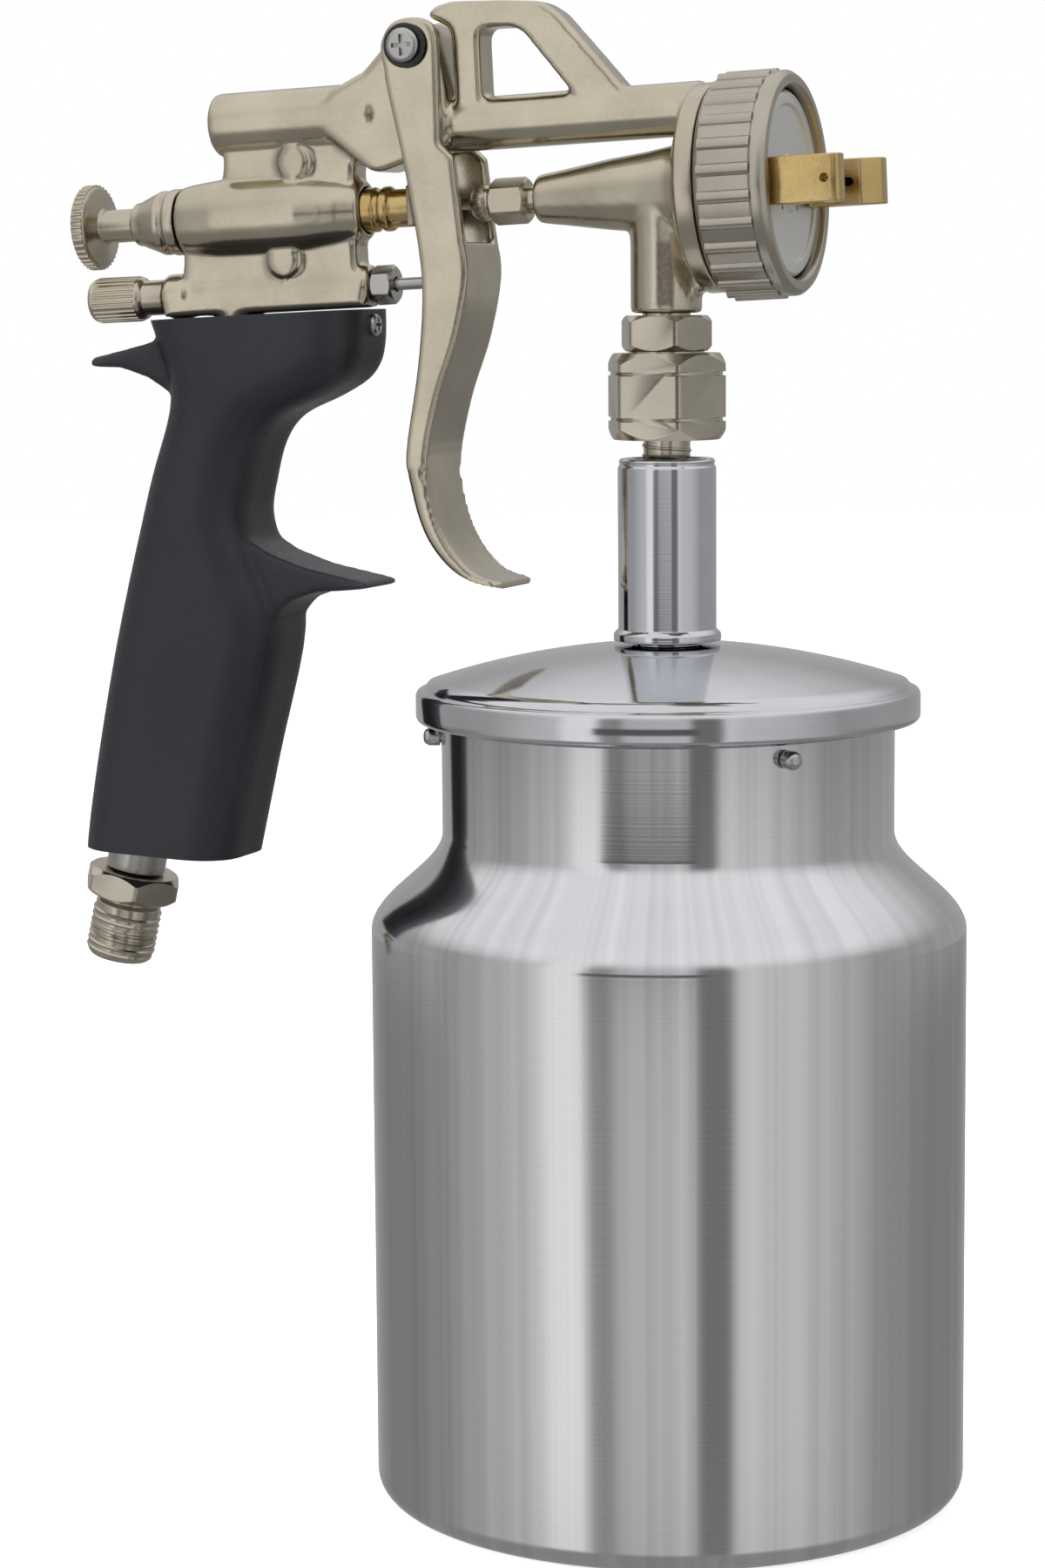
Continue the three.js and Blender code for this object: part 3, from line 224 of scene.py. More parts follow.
def turning_group():
    """Fine rings left by spinning or turning: they run round the axis that the vector's Z follows."""
    inputs = {
        "Vector": ("vector", None),
        "Rings": ("float", 2600.0),
        "Base Gloss": ("float", 0.2),
        "Gloss Spread": ("float", 0.1),
        "Relief": ("float", 0.1),
    }
    outputs = {"Shade": "float", "Roughness": "float", "Normal": "vector"}
    tree, given, result = group("turning_rings", inputs, outputs)
    parts = node(tree, "ShaderNodeSeparateXYZ", {0: given["Vector"]}).outputs
    across = maths(tree, "ADD", maths(tree, "MULTIPLY", parts[0], parts[0]),
                   maths(tree, "MULTIPLY", parts[1], parts[1]))
    along = maths(tree, "ADD", parts[2], maths(tree, "SQRT", across))
    height = maths(tree, "MULTIPLY", along, given["Rings"])
    lines = node(tree, "ShaderNodeTexNoise", {"W": height, "Scale": 1.0, "Detail": 2.0},
                 noise_dimensions="1D").outputs[0]
    spread = maths(tree, "MULTIPLY", maths(tree, "SUBTRACT", lines, 0.5), given["Gloss Spread"])
    tree.links.new(maths(tree, "ADD", given["Base Gloss"], spread), result["Roughness"])
    tree.links.new(remap(tree, lines, 0.3, 0.7, 0.97, 1.0), result["Shade"])
    bump = node(tree, "ShaderNodeBump", {"Height": lines, "Strength": given["Relief"], "Distance": 0.00005})
    tree.links.new(bump.outputs[0], result["Normal"])
    return tree


GRAIN = grain_group()
EDGE_HIGHLIGHT_CORNER_SHADE = edge_highlight_corner_shade_group()
TURNING = turning_group()


def effect(tree, source, **values):
    """A shared effect placed in a material with its own values."""
    made = tree.nodes.new("ShaderNodeGroup")
    made.node_tree = source
    for key, value in values.items():
        socket = made.inputs[key.replace("_", " ")]
        if isinstance(value, bpy.types.NodeSocket):
            tree.links.new(value, socket)
        else:
            socket.default_value = value
    return made.outputs


def surface(name, metal):
    """A new material with its Principled shader."""
    made = bpy.data.materials.new(name)
    made.use_nodes = True
    shader = made.node_tree.nodes["Principled BSDF"]
    shader.inputs["Metallic"].default_value = metal
    return made, made.node_tree, shader.inputs


def wire(tree, shader, colour, roughness, normal):
    tree.links.new(colour, shader["Base Color"])
    tree.links.new(roughness, shader["Roughness"])
    tree.links.new(normal, shader["Normal"])


def along_axis(tree, axis):
    """Object coordinates turned so that Z runs along the cup's axis or the barrel's."""
    place = node(tree, "ShaderNodeTexCoord").outputs["Object"]
    if axis == "Z":
        return place
    moved = node(tree, "ShaderNodeVectorMath", {0: place, 1: tuple(-GUN.translation)}, operation="ADD")
    links = {"Vector": moved.outputs[0], "Rotation": (0, math.radians(-87.5), 0)}
    return node(tree, "ShaderNodeMapping", links).outputs[0]


def ringed(tree, colour, lines):
    """A colour darkened in the grooves of the lathe rings."""
    shade = node(tree, "ShaderNodeCombineXYZ", {0: lines["Shade"], 1: lines["Shade"], 2: lines["Shade"]})
    return mix_colour(tree, 1.0, colour, shade.outputs[0], "MULTIPLY")


def plated(name, light, dark, gloss, relief, edge=0.5, mottle=90.0):
    """Plating over a casting: satin, slightly uneven, with a painted highlight on its edges and painted shade in its
    corners.
    """
    made, tree, shader = surface(name, 1.0)
    skin = effect(tree, GRAIN, Light=light, Dark=dark, Mottle=mottle, Grain=1500.0,
                  Gloss_Low=gloss[0], Gloss_High=gloss[1], Relief=relief)
    light_and_shade_masks = effect(tree, EDGE_HIGHLIGHT_CORNER_SHADE, Edge=edge, Corner=0.8)
    # painted highlight: a lighter plating colour laid on the edges
    edge_highlight = tuple(min(1.0, c * 1.25) for c in light[:3]) + (1.0,)
    # painted shade: a darker plating colour laid in the inner corners
    corner_shade = tuple(c * 0.35 for c in dark[:3]) + (1.0,)
    colour = mix_colour(tree, light_and_shade_masks["Edge"], skin["Colour"], edge_highlight)
    colour = mix_colour(tree, light_and_shade_masks["Corner"], colour, corner_shade)
    wire(tree, shader, colour, skin["Roughness"], skin["Normal"])
    return made


def turned_metal(name, light, dark, gloss, relief, axis="Z", rings=2600.0, spread=0.12, corner=0.6):
    """Spun or lathe-turned metal with rings round its axis."""
    made, tree, shader = surface(name, 1.0)
    lines = effect(tree, TURNING, Vector=along_axis(tree, axis), Rings=rings, Base_Gloss=gloss,
                   Gloss_Spread=spread, Relief=relief)
    skin = effect(tree, GRAIN, Light=light, Dark=dark, Mottle=60.0, Grain=400.0)
    light_and_shade_masks = effect(tree, EDGE_HIGHLIGHT_CORNER_SHADE, Edge=0.4, Corner=corner)
    colour = ringed(tree, skin["Colour"], lines)
    # painted shade: a darker colour laid in the inner corners
    corner_shade = tuple(c * 0.4 for c in dark[:3]) + (1.0,)
    colour = mix_colour(tree, light_and_shade_masks["Corner"], colour, corner_shade)
    wire(tree, shader, colour, lines["Roughness"], lines["Normal"])
    return made


def spun_cup():
    """Spun aluminium: rings from the lathe crossed by faint upright streaks, a painted reflection in the colour and a
    real change in the roughness.
    """
    made, tree, shader = surface("spun_aluminium", 1.0)
    place = node(tree, "ShaderNodeTexCoord").outputs["Object"]
    lines = effect(tree, TURNING, Vector=place, Rings=2200.0, Base_Gloss=0.11, Gloss_Spread=0.05, Relief=0.05)
    flat = node(tree, "ShaderNodeVectorMath", {0: place, 1: (1.0, 1.0, 0.0)}, operation="MULTIPLY").outputs[0]
    around = node(tree, "ShaderNodeVectorMath", {0: flat}, operation="NORMALIZE").outputs[0]
    # upright streaks round the cup: painted reflection in the colour, real unevenness in the roughness
    streaks = node(tree, "ShaderNodeTexNoise", {"Vector": around, "Scale": 17.0, "Detail": 6.0}).outputs[0]
    share = remap(tree, streaks, 0.3, 0.72, 0.0, 1.0)
    colour = mix_colour(tree, share, rgb(0.76, 0.765, 0.775), rgb(0.60, 0.61, 0.625))
    colour = ringed(tree, colour, lines)
    light_and_shade_masks = effect(tree, EDGE_HIGHLIGHT_CORNER_SHADE, Edge=0.5, Corner=0.6)
    # painted shade: near black laid in the inner corners
    colour = mix_colour(tree, light_and_shade_masks["Corner"], colour, rgb(0.2, 0.2, 0.2))
    rough = maths(tree, "ADD", lines["Roughness"], remap(tree, streaks, 0.3, 0.7, -0.02, 0.04))
    wire(tree, shader, colour, rough, lines["Normal"])
    return made


def moulded(name, light, dark, gloss, relief, edge_dust_and_highlight):
    """Moulded plastic or rubber: fine pebbled skin, paler on its edges with dust and a painted highlight, darker in
    its corners with painted shade.
    """
    made, tree, shader = surface(name, 0.0)
    skin = effect(tree, GRAIN, Light=light, Dark=dark, Mottle=45.0, Grain=1700.0,
                  Gloss_Low=gloss[0], Gloss_High=gloss[1], Relief=relief)
    light_and_shade_masks = effect(tree, EDGE_HIGHLIGHT_CORNER_SHADE, Edge=0.6, Corner=0.5)
    # pale edges: partly dust, partly a painted highlight
    colour = mix_colour(tree, light_and_shade_masks["Edge"], skin["Colour"], edge_dust_and_highlight)
    # painted shade: a darker colour laid in the inner corners
    colour = mix_colour(tree, light_and_shade_masks["Corner"], colour, tuple(c * 0.3 for c in dark[:3]) + (1.0,))
    wire(tree, shader, colour, skin["Roughness"], skin["Normal"])
    return made


CUP_METAL = spun_cup()
LID_METAL = turned_metal("polished_lid", rgb(0.68, 0.69, 0.71), rgb(0.60, 0.61, 0.63), 0.09, 0.015, rings=1500.0,
                         spread=0.05)
CHROME = turned_metal("chromed_stem", rgb(0.66, 0.67, 0.71), rgb(0.60, 0.61, 0.65), 0.05, 0.01, spread=0.03)
NICKEL = plated("satin_nickel", rgb(0.59, 0.53, 0.42), rgb(0.50, 0.45, 0.35), (0.15, 0.22), 0.02)
NICKEL_TURNED = turned_metal("turned_nickel", rgb(0.57, 0.51, 0.41), rgb(0.48, 0.43, 0.34), 0.22, 0.04,
                             axis="X", rings=2400.0)
NICKEL_UPRIGHT = turned_metal("wrenched_nickel", rgb(0.57, 0.52, 0.43), rgb(0.48, 0.44, 0.36), 0.18, 0.03,
                              rings=2400.0)
NICKEL_DARK = turned_metal("ring_nickel", rgb(0.50, 0.46, 0.39), rgb(0.42, 0.385, 0.325), 0.26, 0.04, axis="X")
CAP_METAL = turned_metal("air_cap_nickel", rgb(0.86, 0.86, 0.84), rgb(0.79, 0.79, 0.77), 0.42, 0.06, axis="X")
BRASS = plated("machined_brass", rgb(0.60, 0.44, 0.20), rgb(0.50, 0.335, 0.12), (0.16, 0.26), 0.08, edge=0.7)
STEEL = turned_metal("bright_steel", rgb(0.52, 0.51, 0.49), rgb(0.44, 0.43, 0.42), 0.25, 0.12, axis="X")
STEEL_UPRIGHT = turned_metal("drawn_steel", rgb(0.55, 0.55, 0.55), rgb(0.47, 0.47, 0.47), 0.22, 0.12)
# the last colour of each moulded finish is its pale edge colour, partly dust and partly a painted highlight
PLASTIC = moulded("moulded_handle", rgb(0.013, 0.013, 0.018), rgb(0.010, 0.010, 0.0145), (0.36, 0.5), 0.25,
                  rgb(0.045, 0.046, 0.054))
BUSH_PLASTIC = moulded("black_bush", rgb(0.012, 0.012, 0.013), rgb(0.008, 0.008, 0.009), (0.3, 0.42), 0.2,
                       rgb(0.04, 0.04, 0.042))
RUBBER = moulded("seal_rubber", rgb(0.02, 0.02, 0.02), rgb(0.012, 0.012, 0.012), (0.6, 0.75), 0.4,
                 rgb(0.04, 0.04, 0.04))

# ---------------------------------------------------------------- mesh helpers


def rounded(points, size, closed=False, steps=3):
    """Corner points replaced by short arcs; gentle bends stay as they are."""
    result = []
    count = len(points)
    for i, corner in enumerate(points):
        here = Vector(corner)
        if not closed and i in (0, count - 1):
            result.append(tuple(here))
            continue
        back = Vector(points[i - 1]) - here
        ahead = Vector(points[(i + 1) % count]) - here
        if math.pi - back.angle(ahead) < math.radians(22):
            result.append(tuple(here))
            continue
        reach = min(size, 0.42 * back.length, 0.42 * ahead.length)
        start = here + back.normalized() * reach
        end = here + ahead.normalized() * reach
        for k in range(steps + 1):
            t = k / steps
            result.append(tuple(start * (1 - t) ** 2 + here * 2 * t * (1 - t) + end * t * t))
    return result


def smooth_path(points, steps=5):
    """A Catmull-Rom curve through [x, z] points."""
    result = []
    for i in range(len(points) - 1):
        a = Vector(points[max(i - 1, 0)])
        b = Vector(points[i])
        c = Vector(points[i + 1])
        d = Vector(points[min(i + 2, len(points) - 1)])
        for k in range(steps):
            t = k / steps
            result.append(tuple(0.5 * (2 * b + (c - a) * t + (2 * a - 5 * b + 4 * c - d) * t * t
                                       + (3 * b - a - 3 * c + d) * t ** 3)))
    result.append(tuple(points[-1]))
    return result


def turned(points, facets=SMALL, axis="Z", edge=0.25):
    """A closed shape turned about the axis from (radius, height) points, its corners softened."""
    shape = bmesh.new()
    ring = points[0][0] > 1e-6 or points[-1][0] > 1e-6
    if edge:
        points = rounded(points, edge, closed=ring)
    rows = []
    for radius, height in points:
        if radius < 1e-6:
            rows.append([shape.verts.new((0, 0, height))])
            continue
        turns = [2 * math.pi * k / facets for k in range(facets)]
        rows.append([shape.verts.new((radius * math.cos(t), radius * math.sin(t), height)) for t in turns])
    pairs = list(zip(rows, rows[1:]))
    if ring:
        pairs.append((rows[-1], rows[0]))
    for lower, upper in pairs:
        for k in range(facets):
            following = (k + 1) % facets
            if len(lower) == 1 and len(upper) == 1:
                continue
            if len(lower) == 1:
                shape.faces.new((lower[0], upper[following], upper[k]))
            elif len(upper) == 1:
                shape.faces.new((lower[k], lower[following], upper[0]))
            else:
                shape.faces.new((lower[k], lower[following], upper[following], upper[k]))
    bmesh.ops.recalc_face_normals(shape, faces=shape.faces)
    if axis != "Z":
        turn = Matrix.Rotation(math.radians(90), 4, "Y") if axis == "X" else Matrix.Rotation(-math.pi / 2, 4, "X")
        shape.transform(turn)
    return shape


def rod(radius, low, high, facets=SMALL, axis="Z", edge=0.25):
    return turned([(0, low), (radius, low), (radius, high), (0, high)], facets, axis, edge)


def pipe(outer, inner, low, high, facets=SMALL, axis="Z", edge=0.25):
    return turned([(inner, low), (outer, low), (outer, high), (inner, high)], facets, axis, edge)


def prism(outline, low, high, edge=0.0, steps=3):
    """A side view in the X-Z plane given its width across Y, with its outline edges softened."""
    shape = bmesh.new()
    near = [shape.verts.new((x, low, z)) for x, z in outline]
    far = [shape.verts.new((x, high, z)) for x, z in outline]
    count = len(outline)
    faces = [shape.faces.new(near), shape.faces.new(far[::-1])]
    for k in range(count):
        following = (k + 1) % count
        shape.faces.new((near[k], far[k], far[following], near[following]))
    bmesh.ops.recalc_face_normals(shape, faces=shape.faces)
    if edge:
        rim = list({line for face in faces for line in face.edges})
        bmesh.ops.bevel(shape, geom=rim, offset=edge, offset_type="OFFSET", segments=steps, profile=0.5,
                        affect="EDGES", clamp_overlap=True)
    return shape


def pillow(outline, half_width, soft, steps=6):
    """A side view given its width across Y, with its outline edges rounded by whole quarter circles."""
    shape = bmesh.new()
    count = len(outline)
    corners = [Vector(point) for point in outline]
    turning = 1 if sum(corners[k - 1].cross(corners[k]) for k in range(count)) > 0 else -1
    inward = []
    for k, here in enumerate(corners):
        before = (here - corners[k - 1]).normalized()
        after = (corners[(k + 1) % count] - here).normalized()
        inward.append(Vector((-before.y - after.y, before.x + after.x)) * turning / max(0.6, 1 + before.dot(after)))
    bends = [math.pi / 2 * k / steps for k in range(steps, -1, -1)]
    levels = [(soft * (1 - math.cos(t)), -half_width + soft * (1 - math.sin(t))) for t in bends]
    levels += [(inset, -across) for inset, across in levels[::-1]]
    rows = []
    for inset, across in levels:
        points = [here + push * inset for here, push in zip(corners, inward)]
        rows.append([shape.verts.new((point.x, across, point.y)) for point in points])
    shape.faces.new(rows[0])
    shape.faces.new(rows[-1][::-1])
    for near, far in zip(rows, rows[1:]):
        for k in range(count):
            following = (k + 1) % count
            shape.faces.new((near[k], far[k], far[following], near[following]))
    bmesh.ops.recalc_face_normals(shape, faces=shape.faces)
    return shape


def block(low, high):
    return prism([(low[0], low[2]), (high[0], low[2]), (high[0], high[2]), (low[0], high[2])], low[1], high[1])


def moved(shape, *turns):
    for turn in turns:
        shape.transform(turn)
    return shape


def shift(x, y, z):
    return Matrix.Translation((x, y, z))


def joined(shapes):
    """Several shapes in one mesh, each still closed by itself."""
    whole = bmesh.new()
    for shape in shapes:
        mesh = bpy.data.meshes.new("joining")
        shape.to_mesh(mesh)
        shape.free()
        whole.from_mesh(mesh)
        bpy.data.meshes.remove(mesh)
    return whole


def holder_of(shape, name="workpiece"):
    mesh = bpy.data.meshes.new(name)
    shape.to_mesh(mesh)
    shape.free()
    holder = bpy.data.objects.new(name, mesh)
    bpy.context.collection.objects.link(holder)
    return holder


def evaluated(holder):
    """The plain mesh that an object's modifiers make; the object is removed."""
    bpy.context.view_layer.update()
    graph = bpy.context.evaluated_depsgraph_get()
    mesh = bpy.data.meshes.new_from_object(holder.evaluated_get(graph))
    result = bmesh.new()
    result.from_mesh(mesh)
    bpy.data.meshes.remove(mesh)
    bpy.data.objects.remove(holder)
    return result


def combined(shape, tools, operation):
    """A shape with tools cut from it (DIFFERENCE) or kept within them (INTERSECT)."""
    holder = holder_of(shape)
    helpers = []
    for tool in tools:
        helper = holder_of(tool, "tool")
        step = holder.modifiers.new("combine", "BOOLEAN")
        step.operation = operation
        step.solver = "EXACT"
        step.object = helper
        helpers.append(helper)
    result = evaluated(holder)
    for helper in helpers:
        bpy.data.objects.remove(helper)
    return result


def cast(shapes, cell, passes):
    """Overlapping shapes melted into one casting with soft fillets where they meet."""
    holder = holder_of(joined(shapes))
    melt = holder.modifiers.new("melt", "REMESH")
    melt.mode = "VOXEL"
    melt.voxel_size = cell
    polish = holder.modifiers.new("polish", "SMOOTH")
    polish.factor = 0.5
    polish.iterations = passes
    return evaluated(holder)


def piece(name, shape, place, finish, body, nodes=(), crease=38):
    """A finished piece: placed, shaded, ridden on its body and standing for its CAD nodes."""
    shape.transform(place)
    mesh = bpy.data.meshes.new(name)
    shape.to_mesh(mesh)
    shape.free()
    mesh.shade_smooth()
    mesh.set_sharp_from_angle(angle=math.radians(crease))
    mesh.materials.clear()
    mesh.materials.append(finish)
    made = bpy.data.objects.new(name, mesh)
    bpy.context.collection.objects.link(made)
    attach(made, body)
    if nodes:
        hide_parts(*nodes)
    return made


def hexagon(flats, low, high, chamfer):
    """A hexagonal nut blank about Z: a prism with its corners broken, kept within a chamfered rod."""
    wide = flats / math.sqrt(3)
    outline = [(wide * math.cos(math.pi / 3 * k), wide * math.sin(math.pi / 3 * k)) for k in range(6)]
    outline = rounded(outline, 0.5, closed=True)
    blank = moved(prism(outline, low, high), Matrix.Rotation(math.pi / 2, 4, "X"))
    within = turned([(0, low), (flats / 2 - 0.2, low), (wide, low + chamfer), (wide, high - chamfer),
                     (flats / 2 - 0.2, high), (0, high)], FINE, edge=0)
    return combined(blank, [within], "INTERSECT")


# ---------------------------------------------------------------- repeated details


def tree_start(name, inputs):
    tree = bpy.data.node_groups.new(name, "GeometryNodeTree")
    kinds = {"count": "NodeSocketInt", "size": "NodeSocketFloat", "finish": "NodeSocketMaterial"}
    for key, kind in inputs.items():
        tree.interface.new_socket(key, in_out="INPUT", socket_type=kinds[kind])
    tree.interface.new_socket("Mesh", in_out="OUTPUT", socket_type="NodeSocketGeometry")
    return tree, tree.nodes.new("NodeGroupInput").outputs


def tree_end(tree, shape, lift, finish):
    """Lifts the shape along its axis, makes its instances real and gives them their finish."""
    upward = node(tree, "ShaderNodeCombineXYZ", {2: lift}).outputs[0]
    raised = node(tree, "GeometryNodeTransform", {"Geometry": shape, "Translation": upward}).outputs[0]
    real = node(tree, "GeometryNodeRealizeInstances", {0: raised}).outputs[0]
    painted = node(tree, "GeometryNodeSetMaterial", {"Geometry": real, "Material": finish}).outputs[0]
    tree.links.new(painted, tree.nodes.new("NodeGroupOutput").inputs[0])
    return tree


def rib_tree():
    """Round-topped ribs set evenly round an axis, for grips and knurls."""
    inputs = {"Count": "count", "Radius": "size", "Length": "size", "Rib Radius": "size", "Start": "size",
              "Sides": "count", "Finish": "finish"}
    tree, given = tree_start("ribs_round_axis", inputs)
    circle = node(tree, "GeometryNodeMeshCircle", {"Vertices": given["Count"], "Radius": given["Radius"]})
    rib = node(tree, "GeometryNodeMeshCylinder", {"Vertices": given["Sides"], "Radius": given["Rib Radius"],
                                                  "Depth": given["Length"]})
    spread = node(tree, "GeometryNodeInstanceOnPoints", {"Points": circle.outputs[0],
                                                         "Instance": rib.outputs[0]})
    half = maths(tree, "MULTIPLY", given["Length"], 0.5)
    lift = maths(tree, "ADD", given["Start"], half)
    return tree_end(tree, spread.outputs[0], lift, given["Finish"])


def thread_tree():
    """A screw thread: one ridge wound round an axis."""
    inputs = {"Turns": "size", "Radius": "size", "Length": "size", "Ridge": "size", "Start": "size",
              "Finish": "finish"}
    tree, given = tree_start("thread_round_axis", inputs)
    spiral = node(tree, "GeometryNodeCurveSpiral", {
        "Resolution": 28, "Rotations": given["Turns"], "Start Radius": given["Radius"],
        "End Radius": given["Radius"], "Height": given["Length"]})
    section = node(tree, "GeometryNodeCurvePrimitiveCircle", {"Resolution": 6, "Radius": given["Ridge"]})
    ridge = node(tree, "GeometryNodeCurveToMesh", {"Curve": spiral.outputs[0],
                                                   "Profile Curve": section.outputs[0], "Fill Caps": True})
    return tree_end(tree, ridge.outputs[0], given["Start"], given["Finish"])


RIBS = rib_tree()
THREAD = thread_tree()


def grown(tree, **values):
    """What a geometry tree makes with the given sizes, as a plain shape."""
    holder = holder_of(bmesh.new(), tree.name)
    step = holder.modifiers.new("grow", "NODES")
    step.node_group = tree
    names = {item.name: item.identifier for item in tree.interface.items_tree if item.in_out == "INPUT"}
    for key, value in values.items():
        step[names[key.replace("_", " ")]] = value
    return evaluated(holder)


def ribs(finish, count, radius, length, rib, start, sides=10):
    return grown(RIBS, Count=count, Radius=float(radius), Length=float(length), Rib_Radius=float(rib),
                 Start=float(start), Sides=sides, Finish=finish)


def thread(finish, turns, radius, length, ridge, start):
    return grown(THREAD, Turns=float(turns), Radius=float(radius), Length=float(length), Ridge=float(ridge),
                 Start=float(start), Finish=finish)


def heights(name):
    """Lowest and highest z of a CAD node on the cup's axis, and its radius, in millimetres."""
    low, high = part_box(name)
    return low.z / MM, high.z / MM, high.y / MM


# ---------------------------------------------------------------- cup

CUP_WALL = 1.4
NECK_RADIUS = 40
SHOULDER_LOW, SHOULDER_HIGH = 102, 119.5


def make_cup():
    _, mouth, radius = heights("cup_body")
    corner = 4
    outer = [(0, 0.8), (radius - 11, 0.8), (radius - 9, 0)]
    for k in range(9):
        turn = math.radians(90 * k / 8)
        outer.append((radius - corner + corner * math.sin(turn), corner - corner * math.cos(turn)))
    inner = []
    steps = 28
    for k in range(steps + 1):
        share = k / steps
        across = NECK_RADIUS + (radius - NECK_RADIUS) * (1 + math.cos(math.pi * share)) / 2
        height = SHOULDER_LOW + (SHOULDER_HIGH - SHOULDER_LOW) * share
        outer.append((across, height))
        inner.insert(0, (across - CUP_WALL, height - CUP_WALL * math.sin(math.pi * share) / 2))
    lip = [(NECK_RADIUS, mouth - 2.8), (NECK_RADIUS + 1.3, mouth - 2.2), (NECK_RADIUS + 1.3, mouth - 0.5),
           (NECK_RADIUS + 0.6, mouth), (NECK_RADIUS - CUP_WALL, mouth)]
    floor = [(radius - CUP_WALL, corner), (radius - CUP_WALL - 0.9, 2.6), (radius - 3.6, 1.9), (0, 1.8)]
    profile = outer + rounded(lip, 0.5)[0:-1] + [lip[-1]] + inner + floor
    piece("cup_shell", turned(profile, 160, edge=0), CUP, CUP_METAL, "cup", ["cup_body"])


def make_cup_pins():
    """Riveted bayonet pins, domed outside the neck and headed inside it."""
    front = NECK_RADIUS + GAP + 3
    profile = [(0, NECK_RADIUS - 2.6), (1.8, NECK_RADIUS - 2.6), (1.8, NECK_RADIUS - 1.7),
               (1.1, NECK_RADIUS - 1.7), (1.1, NECK_RADIUS + GAP), (1.6, NECK_RADIUS + GAP),
               (1.6, front - 1), (1.25, front - 0.35), (0.7, front - 0.05), (0, front)]
    for k in range(3):
        turn = Matrix.Rotation(math.radians(120 * k - 41), 4, "Z")
        shape = moved(turned(profile, 24, "X", edge=0.2), turn @ shift(0, 0, 136))
        piece(f"bayonet_pin_{k + 1}", shape, CUP, STEEL_UPRIGHT, "cup", [f"cup_pin_{k + 1}"])


# ---------------------------------------------------------------- lid, stem and pickup tube

DOME_TOP = 152.7
DOME_RISE = 8.4
LID_RIM_TOP = 144.3


def dome_height(across, rim):
    return DOME_TOP - 0.9 * DOME_RISE * (across / rim) ** 2


def make_lid():
    bottom, _, rim = heights("lid_shell")
    outer = []
    inner = []
    seat = 36.5
    for k in range(19):
        share = k / 18
        across = 6.35 + (rim - 2.2 - 6.35) * share
        under = seat + (6.35 - seat) * share
        outer.append((across, dome_height(across, rim)))
        inner.append((under, dome_height(under, rim) - 1.6))
    edge = rounded([outer[-1], (rim - 1.4, LID_RIM_TOP + 0.5), (rim - 0.3, LID_RIM_TOP + 0.2),
                    (rim, LID_RIM_TOP - 0.6), (rim, bottom + 0.7), (rim - 0.6, bottom), (rim - 1.9, bottom),
                    (rim - 1.9, 143.3), (seat, 143.3), inner[0]], 0.35)
    lid = turned(outer[:-1] + edge[:-1] + inner, 160, edge=0)
    vent = moved(rod(1, 140, 156, 24), shift(0, 26, 0))
    piece("lid_cover", combined(lid, [vent], "DIFFERENCE"), CUP, LID_METAL, "lid", ["lid_shell"])


def make_stem():
    foot, top, _ = heights("stem")
    seat = DOME_TOP + GAP
    profile = [(4.3, foot), (6, foot), (6, seat), (9.5, seat), (9.5, seat + 1.3), (8.9, seat + 1.9),
               (8.65, seat + 2.1), (8.65, top - 1.6), (8.35, top - 1.2), (8.35, top - 0.8), (8.5, top - 0.5),
               (8.1, top), (6.75, top), (6.45, top - 1.4), (4.7, top - 1.4), (4.7, top - 10.4), (3, top - 10.4),
               (3, 164.3), (4.3, 164.3)]
    piece("stem_sleeve", turned(profile, FINE, edge=0.3), CUP, CHROME, "lid", ["stem"])


def make_lock_nut():
    low, high, _ = heights("stem_lock_nut")
    nut = combined(hexagon(17, low, high, 0.8), [rod(6.3, low - 1, high + 1)], "DIFFERENCE")
    piece("stem_back_nut", nut, CUP, STEEL_UPRIGHT, "lid", ["stem_lock_nut"])


def make_pickup_tube():
    low, high, _ = heights("pickup_tube")
    knife = moved(block((-20, -20, -20), (20, 20, 0)), Matrix.Rotation(math.radians(30), 4, "Y"))
    knife = moved(knife, shift(0, 0, low + 4 * math.tan(math.radians(30))))
    tube = combined(pipe(4, 3, low, high), [knife], "DIFFERENCE")
    piece("pickup_pipe", tube, CUP, STEEL_UPRIGHT, "lid", ["pickup_tube"])


def make_tailpiece():
    low, high, _ = heights("cup_tailpiece")
    head = high - 3.2
    profile = [(2.6, low), (4.1, low), (4.1, head), (6.6, head), (6.6, high), (2.6, high)]
    piece("tail_neck", turned(profile), CUP, NICKEL_UPRIGHT, "lid", ["cup_tailpiece"])
    ridge = thread(NICKEL_UPRIGHT, 9, 4.08, head - low - 1.6, 0.3, low + 0.8)
    piece("tail_thread", ridge, CUP, NICKEL_UPRIGHT, "lid")


def make_union():
    low, high, _ = heights("union_nut")
    nut = hexagon(19, low, high, 2.1)
    cuts = [rod(6.9, low + 4, high + 1), rod(4.7, low - 1, high)]
    grooves = [pipe(14, 9.85, low + 3.2, low + 3.9, FINE), pipe(14, 9.85, high - 3.9, high - 3.2, FINE)]
    nut = combined(nut, cuts + grooves, "DIFFERENCE")
    piece("union_hexagon", nut, CUP, NICKEL_UPRIGHT, "union", ["union_nut"], crease=30)


